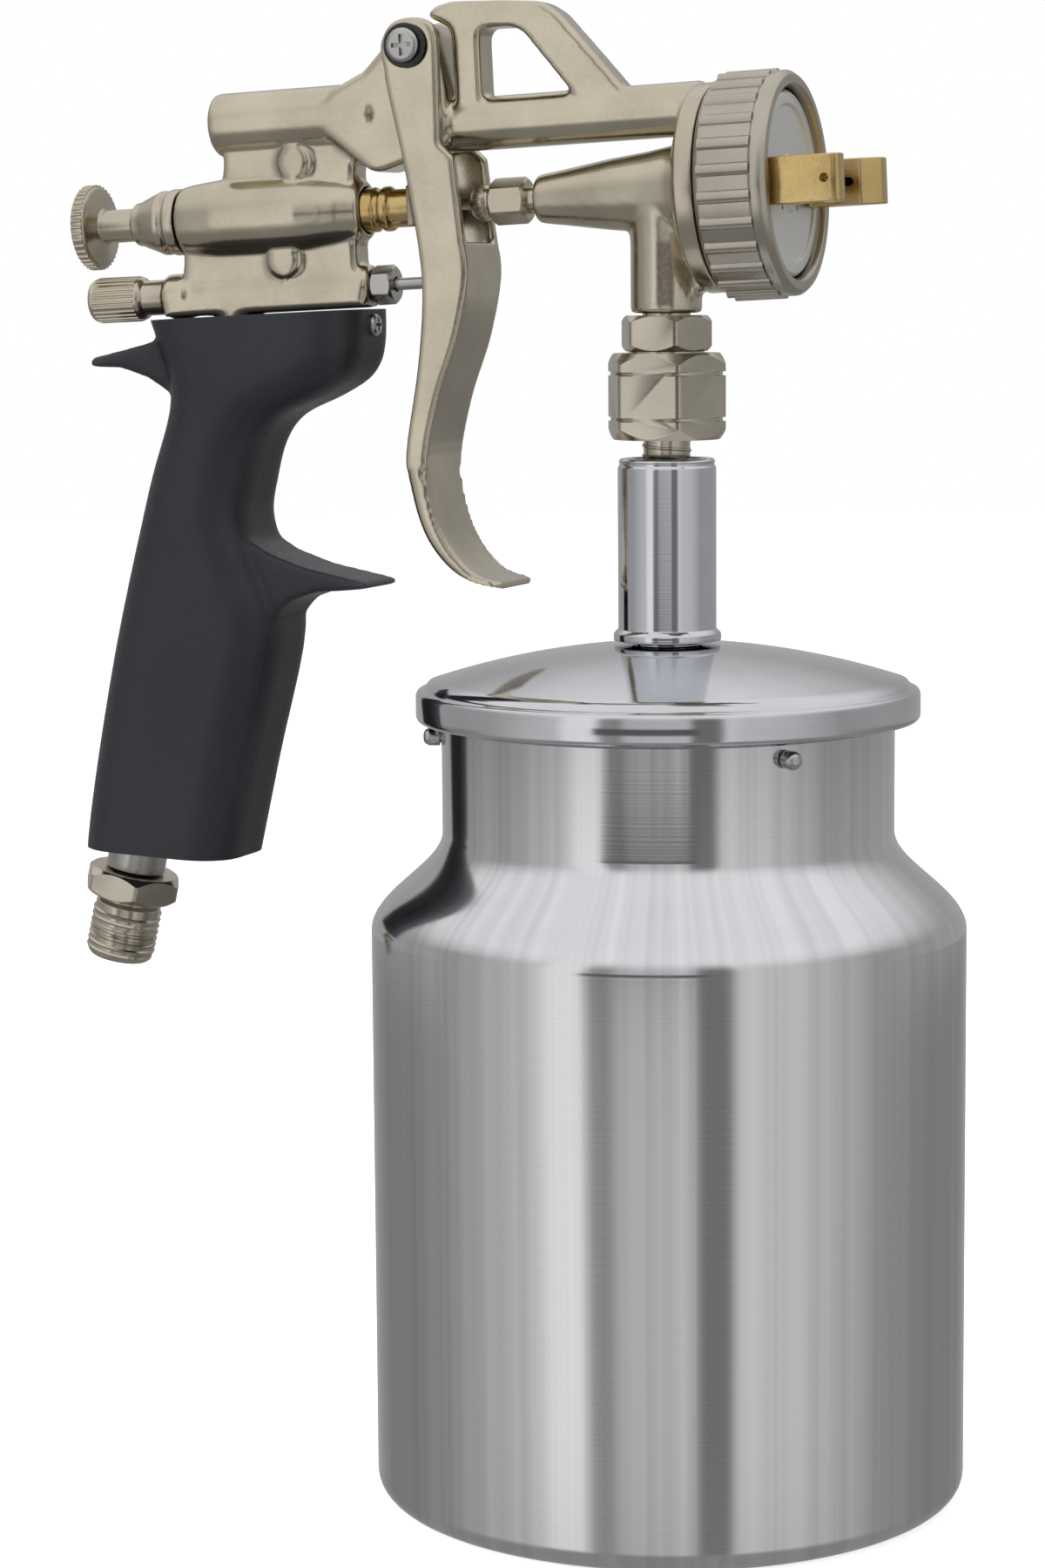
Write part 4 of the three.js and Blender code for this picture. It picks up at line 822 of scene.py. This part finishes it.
def make_adapter():
    low, high, _ = heights("inlet_adapter")
    shoulder, top = 203.6, 209.8
    body = hexagon(14.6, shoulder, top, 1.2)
    core = turned([(2.6, low), (6.6, low), (6.6, shoulder + 0.4), (4.2, shoulder + 0.4), (4.2, high),
                   (2.6, high)])
    hole = rod(2.6, low - 1, high + 1)
    piece("adapter_collar", combined(body, [hole], "DIFFERENCE"), CUP, NICKEL_UPRIGHT, "gun",
          ["inlet_adapter"], crease=30)
    piece("adapter_shank", core, CUP, NICKEL_UPRIGHT, "gun")
    ridge = thread(NICKEL_UPRIGHT, 3, 6.5, shoulder - low - 1.4, 0.28, low + 0.7)
    piece("adapter_thread", ridge, CUP, NICKEL_UPRIGHT, "gun")


# ---------------------------------------------------------------- gun casting

VALVE_Z = -13.4
TOP_Z = 16.8
BARREL_Z = 13.8
PIVOT = (-44, 27.7)
HEAD_START, HEAD_FACE = 7, 10.7


def hook_shapes():
    outside = [(-42.2, 32.9), (-40.6, 34.6), (-37.2, 35.2), (-28, 34.7), (-20.5, 34), (-17.4, 31.8),
               (-10.5, 23.6), (-3.6, 15.2), (-13.4, 15.2), (-24.3, 29.2), (-26.4, 30), (-31.2, 30.2), (-32.2, 29),
               (-32.2, 14), (-37.4, 14), (-37.6, 30.6)]
    return [prism(rounded(outside, 1.5, closed=True), -3.5, 3.5, 1.1)]


def lug_shapes():
    ramp = [(-66, 17), (-60, 21.6), (-54, 24.2), (-49.4, 28.6), (-46.6, 31.4), (-44, 32.1), (-41, 30.8),
            (-39.6, 27.8), (-38.6, 20), (-38.6, 10), (-53, 6)]
    boss = moved(rod(4.4, -6.1, 6.1, SMALL, "Y", 0.6), shift(PIVOT[0], 0, PIVOT[1]))
    return [prism(rounded(ramp, 2, closed=True), -5.3, 5.3, 0.8), boss]


def web_shapes():
    upper = [(-84, 3), (-58, 3), (-56.8, 14), (-83, 14)]
    lower = [(-92, -3), (-58, -3), (-58, VALVE_Z), (-93, VALVE_Z)]
    saddle = [(-96.6, VALVE_Z), (-56.8, VALVE_Z), (-56.8, -17.1), (-96.6, -17.1)]
    bosses = [moved(rod(3.1, -4.2, 4.2, 32, "Y", 0.5), shift(-69, 0, 9.2)),
              moved(rod(3.1, -4.2, 4.2, 32, "Y", 0.5), shift(-72, 0, -8))]
    return [prism(upper, -3.2, 3.2, 0.4), prism(lower, -3.2, 3.2, 0.4), prism(saddle, -3.85, 3.85, 0.2)] + bosses


def tube_shapes():
    air = moved(rod(5.7, -85, -53, 64, "X", 0.5), shift(0, 0, TOP_Z))
    front = moved(rod(4.7, -56, HEAD_START + 1, 64, "X", 0.5), shift(0, 0, BARREL_Z))
    valve = moved(turned([(0, -97), (4.1, -97), (4.1, -92.6), (3.75, -91.6), (3.9, -88), (3.9, -56), (0, -56)], 64,
                         "X", 0.3), shift(0, 0, VALVE_Z))
    middle = turned([(0, -92.6), (6.2, -92.6), (6.6, -90), (7.15, -85), (7.2, -76), (7.1, -68.5), (6.2, -60.5),
                     (5.7, -58.3), (5.2, -56.5), (0, -56.5)], 64, "X", 0.4)
    bell = turned([(0, -23.6), (4.2, -23.6), (4.9, -18.5), (6.2, -10), (7, -3), (7.8, 2), (9.6, 6), (11, 8),
                   (0, 8)], 64, "X", 0.4)
    return [air, front, valve, middle, bell]


def stub_shapes():
    upright = Matrix.Rotation(math.radians(2.5), 4, "Y")
    stub = moved(turned([(0, -21), (6.1, -21), (6.25, -20.6), (6.25, -9), (6.6, -5), (7, -2.5), (0, -2.5)], 64, "Z",
                        0.2), upright)
    gusset = [(1, -17.6), (7.4, -17.6), (8, -16.8), (8, -3), (1, -3)]
    return [stub, prism(gusset, -2.6, 2.6, 0.5)]


def socket_shapes():
    lean = GUN.inverted() @ HANDLE
    return [moved(rod(3.9, 92, 106), lean)]


def make_casting():
    melted = cast(tube_shapes() + hook_shapes() + lug_shapes() + web_shapes() + stub_shapes() + socket_shapes()
                  + [turned([(0, 5), (13, 5), (16.4, HEAD_START), (17.6, HEAD_START + 0.6), (17.6, HEAD_FACE - 0.6),
                             (0, HEAD_FACE - 0.6)], FINE, "X", 0.3)], 0.5, 9)
    bores = [moved(rod(3.6, -90, -83.4, SMALL, "X"), shift(0, 0, TOP_Z)), rod(4.3, -60, -50, SMALL, "X"),
             rod(2.9, -27, -20, SMALL, "X")]
    piece("gun_casting", combined(melted, bores, "DIFFERENCE"), GUN, NICKEL, "gun", ["gun_body"], crease=48)
    head = turned([(16.3, HEAD_START), (17.4, HEAD_START), (18, HEAD_START + 0.6), (18, HEAD_FACE - 0.3),
                   (17.7, HEAD_FACE), (16.9, HEAD_FACE), (16.9, HEAD_FACE + 3.8), (16.3, HEAD_FACE + 3.8)], FINE, "X",
                  0.2)
    piece("head_flange", head, GUN, NICKEL_TURNED, "gun")
    turn = Matrix.Rotation(math.pi / 2, 4, "Y")
    ridge = moved(thread(NICKEL_TURNED, 3, 16.95, 2.4, 0.3, HEAD_FACE + 0.8), turn)
    piece("head_thread", ridge, GUN, NICKEL_TURNED, "gun")


def make_air_plug():
    rear = -84.2
    body = combined(rod(3.3, rear, rear + 2.6, SMALL, "X"), [hex_socket(1.9, rear - 1, rear + 1.8)], "DIFFERENCE")
    piece("air_plug", moved(body, shift(0, 0, TOP_Z)), GUN, STEEL, "gun", ["air_passage_plug"])


def hex_socket(radius, low, high):
    return turned([(0, low), (radius, low), (radius, high), (0, high)], 6, "X", 0)


# ---------------------------------------------------------------- handle

GRIP_TOP = -17.5
GRIP_HALF_WIDTH = 12.4
GRIP_EDGE = 8  # rounding of the handle's long edges
REST_HALF_WIDTH = 7.4
TANG_HALF_WIDTH = 6.9


def grip_outline():
    """The handle's side view, carried past its flat top and foot."""
    back = smooth_path([(-100, -8), (-98.2, GRIP_TOP), (-94.8, -31), (-100.4, -48), (-109.2, -77), (-116.4, -107),
                        (-118.9, -124)])
    front = smooth_path([(-90.2, -126), (-82.8, -99.4), (-75.9, -74.6), (-79, -62), (-81.2, -54), (-80, -47.6),
                         (-77.6, -40.6), (-73.4, -36), (-65, -32.6), (-59.2, -29), (-56.8, -22.5), (-56.6, -8)])
    return back + front


def make_grip():
    """The moulded handle: a rounded slab melted together with its finger rest and its tang."""
    foot = prism([(-140, -111.7), (-60, -119.2), (-60, -150), (-140, -150)], -20, 20)
    rest = [(-88, -52), (-82, -57), (-77, -60.4), (-70, -63.2), (-62, -65.2), (-57.6, -66.3), (-57.3, -67.4),
            (-63, -67.7), (-68, -67.8), (-73.5, -69.4), (-77, -73), (-88, -76)]
    tang = [(-92, -20.6), (-98, -21.4), (-104, -22.6), (-110.8, -23.8), (-111, -25.4), (-105, -25.8),
            (-99.5, -27.8), (-92, -33)]
    body = cast([pillow(grip_outline(), GRIP_HALF_WIDTH, GRIP_EDGE),
                 prism(rounded(rest, 0.8, closed=True), -REST_HALF_WIDTH, REST_HALF_WIDTH, 1.1),
                 prism(rounded(tang, 0.6, closed=True), -TANG_HALF_WIDTH, TANG_HALF_WIDTH, 0.9)], 0.7, 7)
    lean = GUN.inverted() @ HANDLE
    cuts = [foot, moved(rod(5.8, -6, 12), lean), block((-130, -20, GRIP_TOP - 0.05), (-40, 20, 10))]
    piece("grip_moulding", combined(body, cuts, "DIFFERENCE"), GUN, PLASTIC, "gun", ["grip"],
          crease=50)


def cross_head(radius, depth):
    """A screw head at the origin, facing -Z, with a cross recess."""
    head = turned([(0, 0), (radius * 0.82, 0), (radius, depth * 0.35), (radius, depth), (0, depth)], SMALL, edge=0.15)
    long, short = radius * 0.62, radius * 0.13
    bars = [block((-long, -short, -1), (long, short, depth * 0.5)),
            block((-short, -long, -1), (short, long, depth * 0.5))]
    return combined(head, bars, "DIFFERENCE")


def make_grip_screw():
    front = -57.4 + GAP + 1.5
    head = moved(cross_head(2, 1.5), Matrix.Rotation(-math.pi / 2, 4, "Y"), shift(front, 0, -20.4))
    shank = moved(rod(1.2, -76.8, front - 1.2, 24, "X"), shift(0, 0, -20.4))
    piece("grip_fixing_screw", joined([head, shank]), GUN, STEEL, "gun", ["grip_screw"])


def make_air_inlet():
    piece("handle_pipe", pipe(5.5, 4, -2.6, 98.6), HANDLE, STEEL, "gun", ["handle_tube"])
    top = -2.6 - GAP
    bottom = top - 5
    foot = bottom - 12
    nut = combined(hexagon(16.4, bottom, top, 1.3), [rod(5.4, bottom - 1, top + 1)], "DIFFERENCE")
    piece("inlet_hexagon", nut, HANDLE, NICKEL_UPRIGHT, "gun", ["air_inlet_fitting"], crease=30)
    nipple = turned([(2.8, foot), (5.4, foot), (6.1, foot + 0.8), (6.1, bottom - 1.6), (5.3, bottom - 1),
                     (5.3, bottom + 0.4), (5.6, bottom + 0.4), (5.6, top), (3.7, top), (3.7, top + 12),
                     (2.8, top + 12)], FINE, edge=0.2)
    piece("inlet_nipple", nipple, HANDLE, NICKEL_UPRIGHT, "gun")
    piece("inlet_thread", thread(NICKEL_UPRIGHT, 7, 6.05, 8.4, 0.42, foot + 1.1), HANDLE, NICKEL_UPRIGHT, "gun")


# ---------------------------------------------------------------- head pieces

RING_REAR, RING_FRONT = 11, 24
CAP_FRONT = 22.8
HORN_OUTER, HORN_TIP, HORN_JET_Y = 15.1, 35.7, 12.2


def make_ring():
    profile = [(17.6, RING_REAR), (18.2, RING_REAR), (18.9, RING_REAR + 0.9), (18.9, RING_FRONT - 3),
               (19.2, RING_FRONT - 2.6), (19.2, RING_FRONT - 1), (18.4, RING_FRONT), (16.9, RING_FRONT),
               (16.3, RING_FRONT - 0.7), (16.3, RING_FRONT - 5.6), (17.6, RING_FRONT - 5.6)]
    piece("ring_body", turned(profile, 128, "X", 0.3), GUN, NICKEL_DARK, "ring", ["retaining_ring"])
    bars = moved(ribs(NICKEL_DARK, 26, 18.35, 9.2, 1.25, RING_REAR + 1, 14), Matrix.Rotation(math.pi / 2, 4, "Y"))
    piece("ring_ribs", bars, GUN, NICKEL_DARK, "ring")


def make_air_cap():
    profile = [(2.7, CAP_FRONT - 2), (14.4, CAP_FRONT - 2), (14.4, 16.1), (17.3, 16.1), (17.3, 18.1), (16, 18.1),
               (16, CAP_FRONT - 0.6), (15.4, CAP_FRONT), (13.6, CAP_FRONT), (13.2, CAP_FRONT - 0.5),
               (5, CAP_FRONT - 0.5), (4.4, CAP_FRONT), (3.2, CAP_FRONT), (2.7, CAP_FRONT - 0.5)]
    cap = turned(profile, 128, "X", 0.2)
    holes = [moved(rod(0.45, CAP_FRONT - 3, CAP_FRONT + 1, 16, "X"), shift(0, 5.9 * math.cos(t), 5.9 * math.sin(t)))
             for t in [math.radians(90 * k + 45) for k in range(4)]]
    piece("cap_disc", combined(cap, holes, "DIFFERENCE"), GUN, CAP_METAL, "cap", ["air_cap"])


def make_horns():
    """The two brass air horns, each with a slanted inner face and its jets drilled towards the axis."""
    root = CAP_FRONT + GAP
    side = [(root, 8.5), (HORN_TIP - 3.4, 9.1), (HORN_TIP, 11.5), (HORN_TIP, 14.5), (HORN_TIP - 1, HORN_OUTER),
            (root, HORN_OUTER)]
    for name, turn in (("left", 0), ("right", math.pi)):
        shape = moved(prism(rounded(side, 0.35, closed=True), -4, 4, 0.45), Matrix.Rotation(-math.pi / 2, 4, "X"))
        jets = [moved(rod(0.8, -12, 0, 20, "Y"), Matrix.Rotation(-math.pi / 5, 4, "Z"),
                      shift(HORN_TIP - 3.2, HORN_JET_Y, 0)),
                moved(rod(0.5, -12, 0, 16, "Y"), Matrix.Rotation(-0.15, 4, "Z"),
                      shift(HORN_TIP - 7.6, HORN_JET_Y, 0)),
                moved(rod(0.8, -3, 1.5, 20, "Y"), shift(HORN_TIP - 2.6, HORN_OUTER, 0))]
        horn = combined(shape, jets, "DIFFERENCE")
        foot = moved(rod(1.8, CAP_FRONT - 2, root + 0.5, 24, "X"), shift(0, 11.8, 0))
        whole = moved(joined([horn, foot]), Matrix.Rotation(turn, 4, "X"))
        piece(f"horn_{name}", whole, GUN, BRASS, "cap", [f"cap_horn_{name}"])


def make_nozzle():
    profile = [(2.2, 4.7), (4, 4.7), (4, 11.2), (5.4, 11.2), (5.4, 13.8), (4, 14.4), (2, CAP_FRONT - 2.4),
               (2, CAP_FRONT + 0.6), (1.7, CAP_FRONT + 0.8), (0.9, CAP_FRONT + 0.8), (0.9, CAP_FRONT - 1),
               (2.2, 14)]
    piece("nozzle_tip", turned(profile, SMALL, "X", 0.15), GUN, STEEL, "gun", ["fluid_nozzle"])


# ---------------------------------------------------------------- needle, air valve and their knobs


def make_needle():
    tip = [(0, -97), (1, -97), (1, 15.7), (0.6, CAP_FRONT - 1.4), (0.45, CAP_FRONT), (0, CAP_FRONT)]
    piece("needle_rod", turned(tip, 24, "X", 0.1), GUN, STEEL, "needle", ["fluid_needle"])
    carrier = [(1.3, -66), (4, -66), (4, -54.6), (3.6, -54.2), (3.6, -53.4), (4, -53), (4, -51.8), (3.4, -51.2),
               (3.4, -46.4), (1.3, -46.4)]
    piece("needle_bush", turned(carrier, SMALL, "X", 0.3), GUN, BRASS, "needle", ["needle_carrier"])


def make_packing_nut():
    rear, front = -36, -23.6
    cap = turned([(1.3, rear), (2.2, rear), (3.1, rear + 1.1), (3.1, rear + 2.6), (2.7, rear + 3), (2.7, rear + 3.6),
                  (3.3, rear + 4), (3.3, rear + 4.4), (1.3, rear + 4.4)], SMALL, "X", 0.2)
    turn = Matrix.Rotation(math.pi / 2, 4, "Y")
    nut = moved(hexagon(7.4, rear + 3.9, front - 1.9, 0.7), turn)
    nut = combined(nut, [rod(1.3, rear, front + 2, 24, "X")], "DIFFERENCE")
    neck = pipe(2.4, 1.3, front - 2.1, front + 4, SMALL, "X")
    piece("gland_nut", joined([cap, nut, neck]), GUN, NICKEL_TURNED, "gun", ["packing_nut"], crease=30)
    collar = moved(ribs(NICKEL_TURNED, 18, 3.0, 1.5, 0.28, rear + 1.1, 6), turn)
    piece("gland_knurl", collar, GUN, NICKEL_TURNED, "gun")


def make_housing():
    profile = [(2.7, -102.4), (3.7, -102.4), (3.9, -102.1), (4, -101.2), (4.4, -100.4), (5.6, -97.4), (5.8, -97),
               (5.8, -96), (5.4, -95.6), (5.6, -95.2), (6, -94.8), (6, -92.9), (4, -92.9), (4, -86), (2.7, -86)]
    piece("needle_spring_cap", turned(profile, FINE, "X", 0.25), GUN, NICKEL_TURNED, "gun",
          ["spring_housing"])


def make_fluid_knob():
    rear = -113
    profile = [(0, rear), (6.6, rear), (7.4, rear + 0.3), (7.45, rear + 2.7), (6.8, rear + 3), (3.2, rear + 3.6),
               (3, rear + 4.2), (3, -102.7), (2.4, -102.7), (2.4, -90), (1.3, -90), (1.3, -106), (0, -106)]
    piece("fluid_knob_disc", turned(profile, FINE, "X", 0.3), GUN, NICKEL_TURNED, "fluid_control",
          ["fluid_knob"])
    bars = moved(ribs(NICKEL_TURNED, 40, 7.45, 2, 0.33, rear + 0.55, 6), Matrix.Rotation(math.pi / 2, 4, "Y"))
    piece("fluid_knob_knurl", bars, GUN, NICKEL_TURNED, "fluid_control")


def make_valve():
    pin = [(0, -79), (2.4, -79), (2.4, -76), (1.1, -76), (1.1, -37.8), (0.6, -37.2), (0, -37.2)]
    place = shift(0, 0, VALVE_Z)
    piece("valve_pin", moved(turned(pin, 28, "X", 0.15), place), GUN, STEEL, "air_valve",
          ["air_valve_stem"])
    turn = Matrix.Rotation(math.pi / 2, 4, "Y")
    nut = combined(moved(hexagon(6.4, -55.7, -51.7, 0.6), turn), [rod(1.4, -57, -50, 24, "X")], "DIFFERENCE")
    collar = pipe(2.5, 1.4, -60, -55.4, SMALL, "X")
    piece("valve_gland", moved(joined([nut, collar]), place), GUN, STEEL, "gun", ["air_valve_gland"],
          crease=30)


def make_air_knob():
    rear, front = -112.2, -101.6
    profile = [(0, rear + 0.9), (2, rear + 0.9), (2.2, rear), (3.5, rear), (3.9, rear + 0.5), (3.9, front - 0.5),
               (3.5, front), (3.2, front + 0.2), (3.2, -97.3), (2.6, -97.3), (2.6, -91.7), (0, -91.7)]
    place = shift(0, 0, VALVE_Z)
    piece("air_knob_barrel", moved(turned(profile, FINE, "X", 0.25), place), GUN, NICKEL_TURNED, "air_control",
          ["air_adjust_knob"])
    bars = moved(ribs(NICKEL_TURNED, 26, 3.87, 8.4, 0.27, rear + 1.1, 6), Matrix.Rotation(math.pi / 2, 4, "Y"), place)
    piece("air_knob_knurl", bars, GUN, NICKEL_TURNED, "air_control")


# ---------------------------------------------------------------- trigger

FORK_IN, FORK_OUT = 6.4, 8.6


def trigger_front():
    """Front edge of the lever, from the crossbar's height down to the curled toe."""
    return smooth_path([(-36.2, 8), (-35.2, -5), (-34.6, -12.6), (-37.2, -23.4), (-41.6, -34.6), (-44.3, -46.4),
                        (-42.6, -56.8), (-37.6, -64.4), (-31.4, -66.9)])


def trigger_back():
    """Rear edge of the lever, from below the pivot down to the toe."""
    return smooth_path([(-48.6, 24), (-48.2, 20.3), (-46.2, 9.5), (-44.2, -4), (-43.5, -15), (-45, -28),
                        (-48.1, -43), (-47.8, -50), (-45.2, -58.8), (-39.6, -65.4), (-31.6, -68)])


def make_trigger():
    back, front = trigger_back(), trigger_front()
    crown = smooth_path([(-38.2, 28), (-39.2, 31.2), (-42.2, 32.5), (-46.6, 31.9), (-49, 28.2), (-48.6, 24)])
    side = front[::-1] + [(-38.6, 10.4)] + crown + back[1:]
    upper = [p for p in side if p[1] > -47]
    plates = [prism(upper, low, high, 0.55) for low, high in ((-FORK_OUT, -FORK_IN), (FORK_IN, FORK_OUT))]
    face = [p for p in front if -47 < p[1] < -6]
    web = face + [(x - (2.4 if z < -13 else 1.2), z) for x, z in face[::-1]]
    lower = [p for p in side if p[1] < -43]
    toe = pillow(lower, FORK_OUT, 1.6, 4)
    bar = prism([(-46.1, -3.6), (-43, -3.6), (-43, 3.6), (-46.1, 3.6)], -7.4, 7.4, 0.2)
    body = cast(plates + [prism(web, -FORK_OUT + 0.1, FORK_OUT - 0.1, 0.5), toe, bar], 0.4, 6)
    hole = moved(rod(3.4, -20, 20, SMALL, "Y"), shift(PIVOT[0], 0, PIVOT[1]))
    slot = block((-50, -1.8, -2.2), (-40, 1.8, 6))
    piece("trigger_lever", combined(body, [hole, slot], "DIFFERENCE"), GUN, NICKEL, "trigger", ["trigger"],
          crease=50)


def make_pivot():
    place = shift(PIVOT[0], 0, PIVOT[1])
    flange = FORK_OUT + GAP
    for name, turn in (("left", 0), ("right", math.pi)):
        bush = turned([(2.3, FORK_IN), (3.1, FORK_IN), (3.1, flange), (3.9, flange), (3.9, flange + 0.6),
                       (2.3, flange + 0.6)], SMALL, "Y", 0.12)
        bush = moved(bush, Matrix.Rotation(turn, 4, "Z"), place)
        piece(f"bush_{name}", bush, GUN, BUSH_PLASTIC, "trigger", [f"pivot_bush_{name}"])
    end = flange + 0.6
    shaft = [rod(2, -end, end + 0.5, SMALL, "Y"), rod(3, end + GAP, end + GAP + 1, SMALL, "Y")]
    piece("pivot_shaft", moved(joined(shaft), place), GUN, STEEL, "gun", ["trigger_pivot"])
    head = moved(cross_head(3, 1), Matrix.Rotation(-math.pi / 2, 4, "X"), shift(0, -end - GAP - 1, 0), place)
    piece("pivot_cross_screw", head, GUN, STEEL, "gun", ["pivot_screw"])


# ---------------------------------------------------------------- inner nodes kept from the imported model

KEPT = {
    "lid_gasket": RUBBER,
    "head_gasket": RUBBER,
    "needle_packing": RUBBER,
    "air_valve_seal": RUBBER,
    "air_distributor": BUSH_PLASTIC,
    "needle_spring": STEEL,
    "air_valve_spring": STEEL,
}


def finish_kept_nodes():
    for name, finish in KEPT.items():
        kept = frame["nodes"][name]
        kept.data.materials.clear()
        kept.data.materials.append(finish)


for make in (make_cup, make_cup_pins, make_lid, make_stem, make_lock_nut, make_pickup_tube, make_tailpiece,
             make_union, make_adapter, make_casting, make_air_plug, make_grip, make_grip_screw, make_air_inlet,
             make_ring, make_air_cap, make_horns, make_nozzle, make_needle, make_packing_nut, make_housing,
             make_fluid_knob, make_valve, make_air_knob, make_trigger, make_pivot, finish_kept_nodes):
    make()

# ---------------------------------------------------------------- studio

BACKGROUND = 1.0
SOFT_LIGHT = 0.55  # what the white room gives to matt surfaces
OVERHEAD, BELOW = (0.95, 0.95, 0.96), (0.30, 0.30, 0.30)
FLANK_LEVEL = 0.4  # least brightness beside and behind the piece, level with it
CARD_SHADE, CARD_HEADING = (0.12, 0.12, 0.12), 10  # a small dark card, degrees to the left of the camera
BANDS = [  # degrees to the right of the camera, as seen from the piece, and brightness
    (-180, 0.45), (-140, 0.24), (-100, 0.30), (-66, 0.58), (-52, 0.66), (-46, 0.98), (-34, 1.0), (-29, 0.34),
    (-22, 0.30), (-19, 0.58), (9, 0.64), (12, 0.20), (23, 0.20), (27, 0.78), (36, 0.68), (60, 0.62), (88, 0.36),
    (120, 0.26), (150, 0.26), (180, 0.45),
]


def make_world():
    """White behind the piece; what shines in the metal is a ring of soft boxes with darker gaps."""
    world = bpy.data.worlds.new("studio")
    bpy.context.scene.world = world
    world.use_nodes = True
    tree = world.node_tree
    tree.nodes.clear()
    way = node(tree, "ShaderNodeSeparateXYZ", {0: node(tree, "ShaderNodeTexCoord").outputs["Generated"]}).outputs
    heading = math.atan2(CAMERA_PLACE.y, CAMERA_PLACE.x)
    turn = maths(tree, "SUBTRACT", maths(tree, "ARCTAN2", way[1], way[0]), heading)
    turn = maths(tree, "WRAP", turn, math.pi)
    turn.node.inputs[2].default_value = -math.pi
    share = remap(tree, turn, -math.pi, math.pi, 0.0, 1.0)
    ramp = node(tree, "ShaderNodeValToRGB", {0: share})
    stops = ramp.color_ramp.elements
    for k, (angle, value) in enumerate(BANDS):
        place = (angle + 180) / 360
        stop = stops[0] if k == 0 else (stops[-1] if k == len(BANDS) - 1 else stops.new(place))
        stop.position = place
        stop.color = (value, value, value, 1.0)
    level = remap(tree, way[2], -0.17, -0.13, 0.0, 1.0, smooth=True)
    lifted = maths(tree, "MAXIMUM", ramp.outputs[0], FLANK_LEVEL)
    off_side = maths(tree, "ABSOLUTE", maths(tree, "ADD", turn, math.radians(CARD_HEADING)))
    flank = maths(tree, "MULTIPLY", level, remap(tree, off_side, 0.5, 0.75, 0.0, 1.0, smooth=True))
    shine = mix_colour(tree, flank, ramp.outputs[0], lifted)
    off_height = maths(tree, "ABSOLUTE", maths(tree, "ADD", way[2], 0.025))
    card = maths(tree, "MULTIPLY", remap(tree, off_side, 0.37, 0.45, 1.0, 0.0, smooth=True),
                 remap(tree, off_height, 0.06, 0.085, 1.0, 0.0, smooth=True))
    shine = mix_colour(tree, card, shine, rgb(*CARD_SHADE))
    overhead = remap(tree, way[2], 0.22, 0.75, 0.0, 1.0, smooth=True)
    below = remap(tree, way[2], -0.34, -0.62, 0.0, 1.0, smooth=True)
    shine = mix_colour(tree, overhead, shine, rgb(*OVERHEAD))
    shine = mix_colour(tree, below, shine, rgb(*BELOW))
    seen = node(tree, "ShaderNodeLightPath").outputs
    soft = node(tree, "ShaderNodeBackground", {"Color": rgb(1, 1, 1), "Strength": SOFT_LIGHT})
    mirrored = node(tree, "ShaderNodeBackground", {"Color": shine, "Strength": 1.0})
    white = node(tree, "ShaderNodeBackground", {"Color": rgb(1, 1, 1), "Strength": BACKGROUND})
    first = node(tree, "ShaderNodeMixShader", {0: seen["Is Glossy Ray"], 1: soft.outputs[0], 2: mirrored.outputs[0]})
    direct = maths(tree, "MAXIMUM", seen["Is Camera Ray"], seen["Is Transmission Ray"])
    second = node(tree, "ShaderNodeMixShader", {0: direct, 1: first.outputs[0], 2: white.outputs[0]})
    node(tree, "ShaderNodeOutputWorld", {0: second.outputs[0]})


def make_floor():
    """A plain pale floor: white to the camera apart from the shadow, clear to the metal's reflections."""
    made = bpy.data.materials.new("pale_floor")
    made.use_nodes = True
    tree = made.node_tree
    tree.nodes.clear()
    seen = node(tree, "ShaderNodeLightPath").outputs
    matt = node(tree, "ShaderNodeBsdfDiffuse", {"Color": rgb(0.9, 0.9, 0.9)})
    glow = node(tree, "ShaderNodeEmission", {"Color": rgb(1, 1, 1), "Strength": 0.62})
    both = node(tree, "ShaderNodeAddShader", {0: matt.outputs[0], 1: glow.outputs[0]})
    plain = node(tree, "ShaderNodeMixShader", {0: seen["Is Camera Ray"], 1: matt.outputs[0], 2: both.outputs[0]})
    clear = node(tree, "ShaderNodeBsdfTransparent")
    whole = node(tree, "ShaderNodeMixShader", {0: seen["Is Glossy Ray"], 1: plain.outputs[0], 2: clear.outputs[0]})
    node(tree, "ShaderNodeOutputMaterial", {0: whole.outputs[0]})
    shape = turned([(0, -2), (3000, -2), (3000, -0.02), (0, -0.02)], FINE, edge=0)
    shape.transform(CUP)
    mesh = bpy.data.meshes.new("studio_floor")
    shape.to_mesh(mesh)
    shape.free()
    mesh.materials.append(made)
    floor = bpy.data.objects.new("studio_floor", mesh)
    bpy.context.collection.objects.link(floor)


def lamp(name, place, target, size, power, tall=None):
    data = bpy.data.lights.new(name, "AREA")
    data.shape = "RECTANGLE"
    data.size = size
    data.size_y = tall or size
    data.energy = power
    holder = bpy.data.objects.new(name, data)
    bpy.context.collection.objects.link(holder)
    facing = (Vector(target) - Vector(place)).to_track_quat("-Z", "Y")
    holder.matrix_world = Matrix.Translation(place) @ facing.to_matrix().to_4x4()
    holder.visible_glossy = False


def make_lights():
    middle = (cad_low + cad_high) / 2
    lamp("key_box", (-0.75, -1.05, 0.75), middle, 0.6, 9, 0.9)
    lamp("fill_box", (1.1, -0.7, 0.45), middle, 0.5, 5, 0.9)
    lamp("top_box", (0.0, 0.1, 1.3), middle, 1.0, 7)


make_world()
make_floor()
make_lights()
bpy.context.scene.view_settings.view_transform = "Standard"
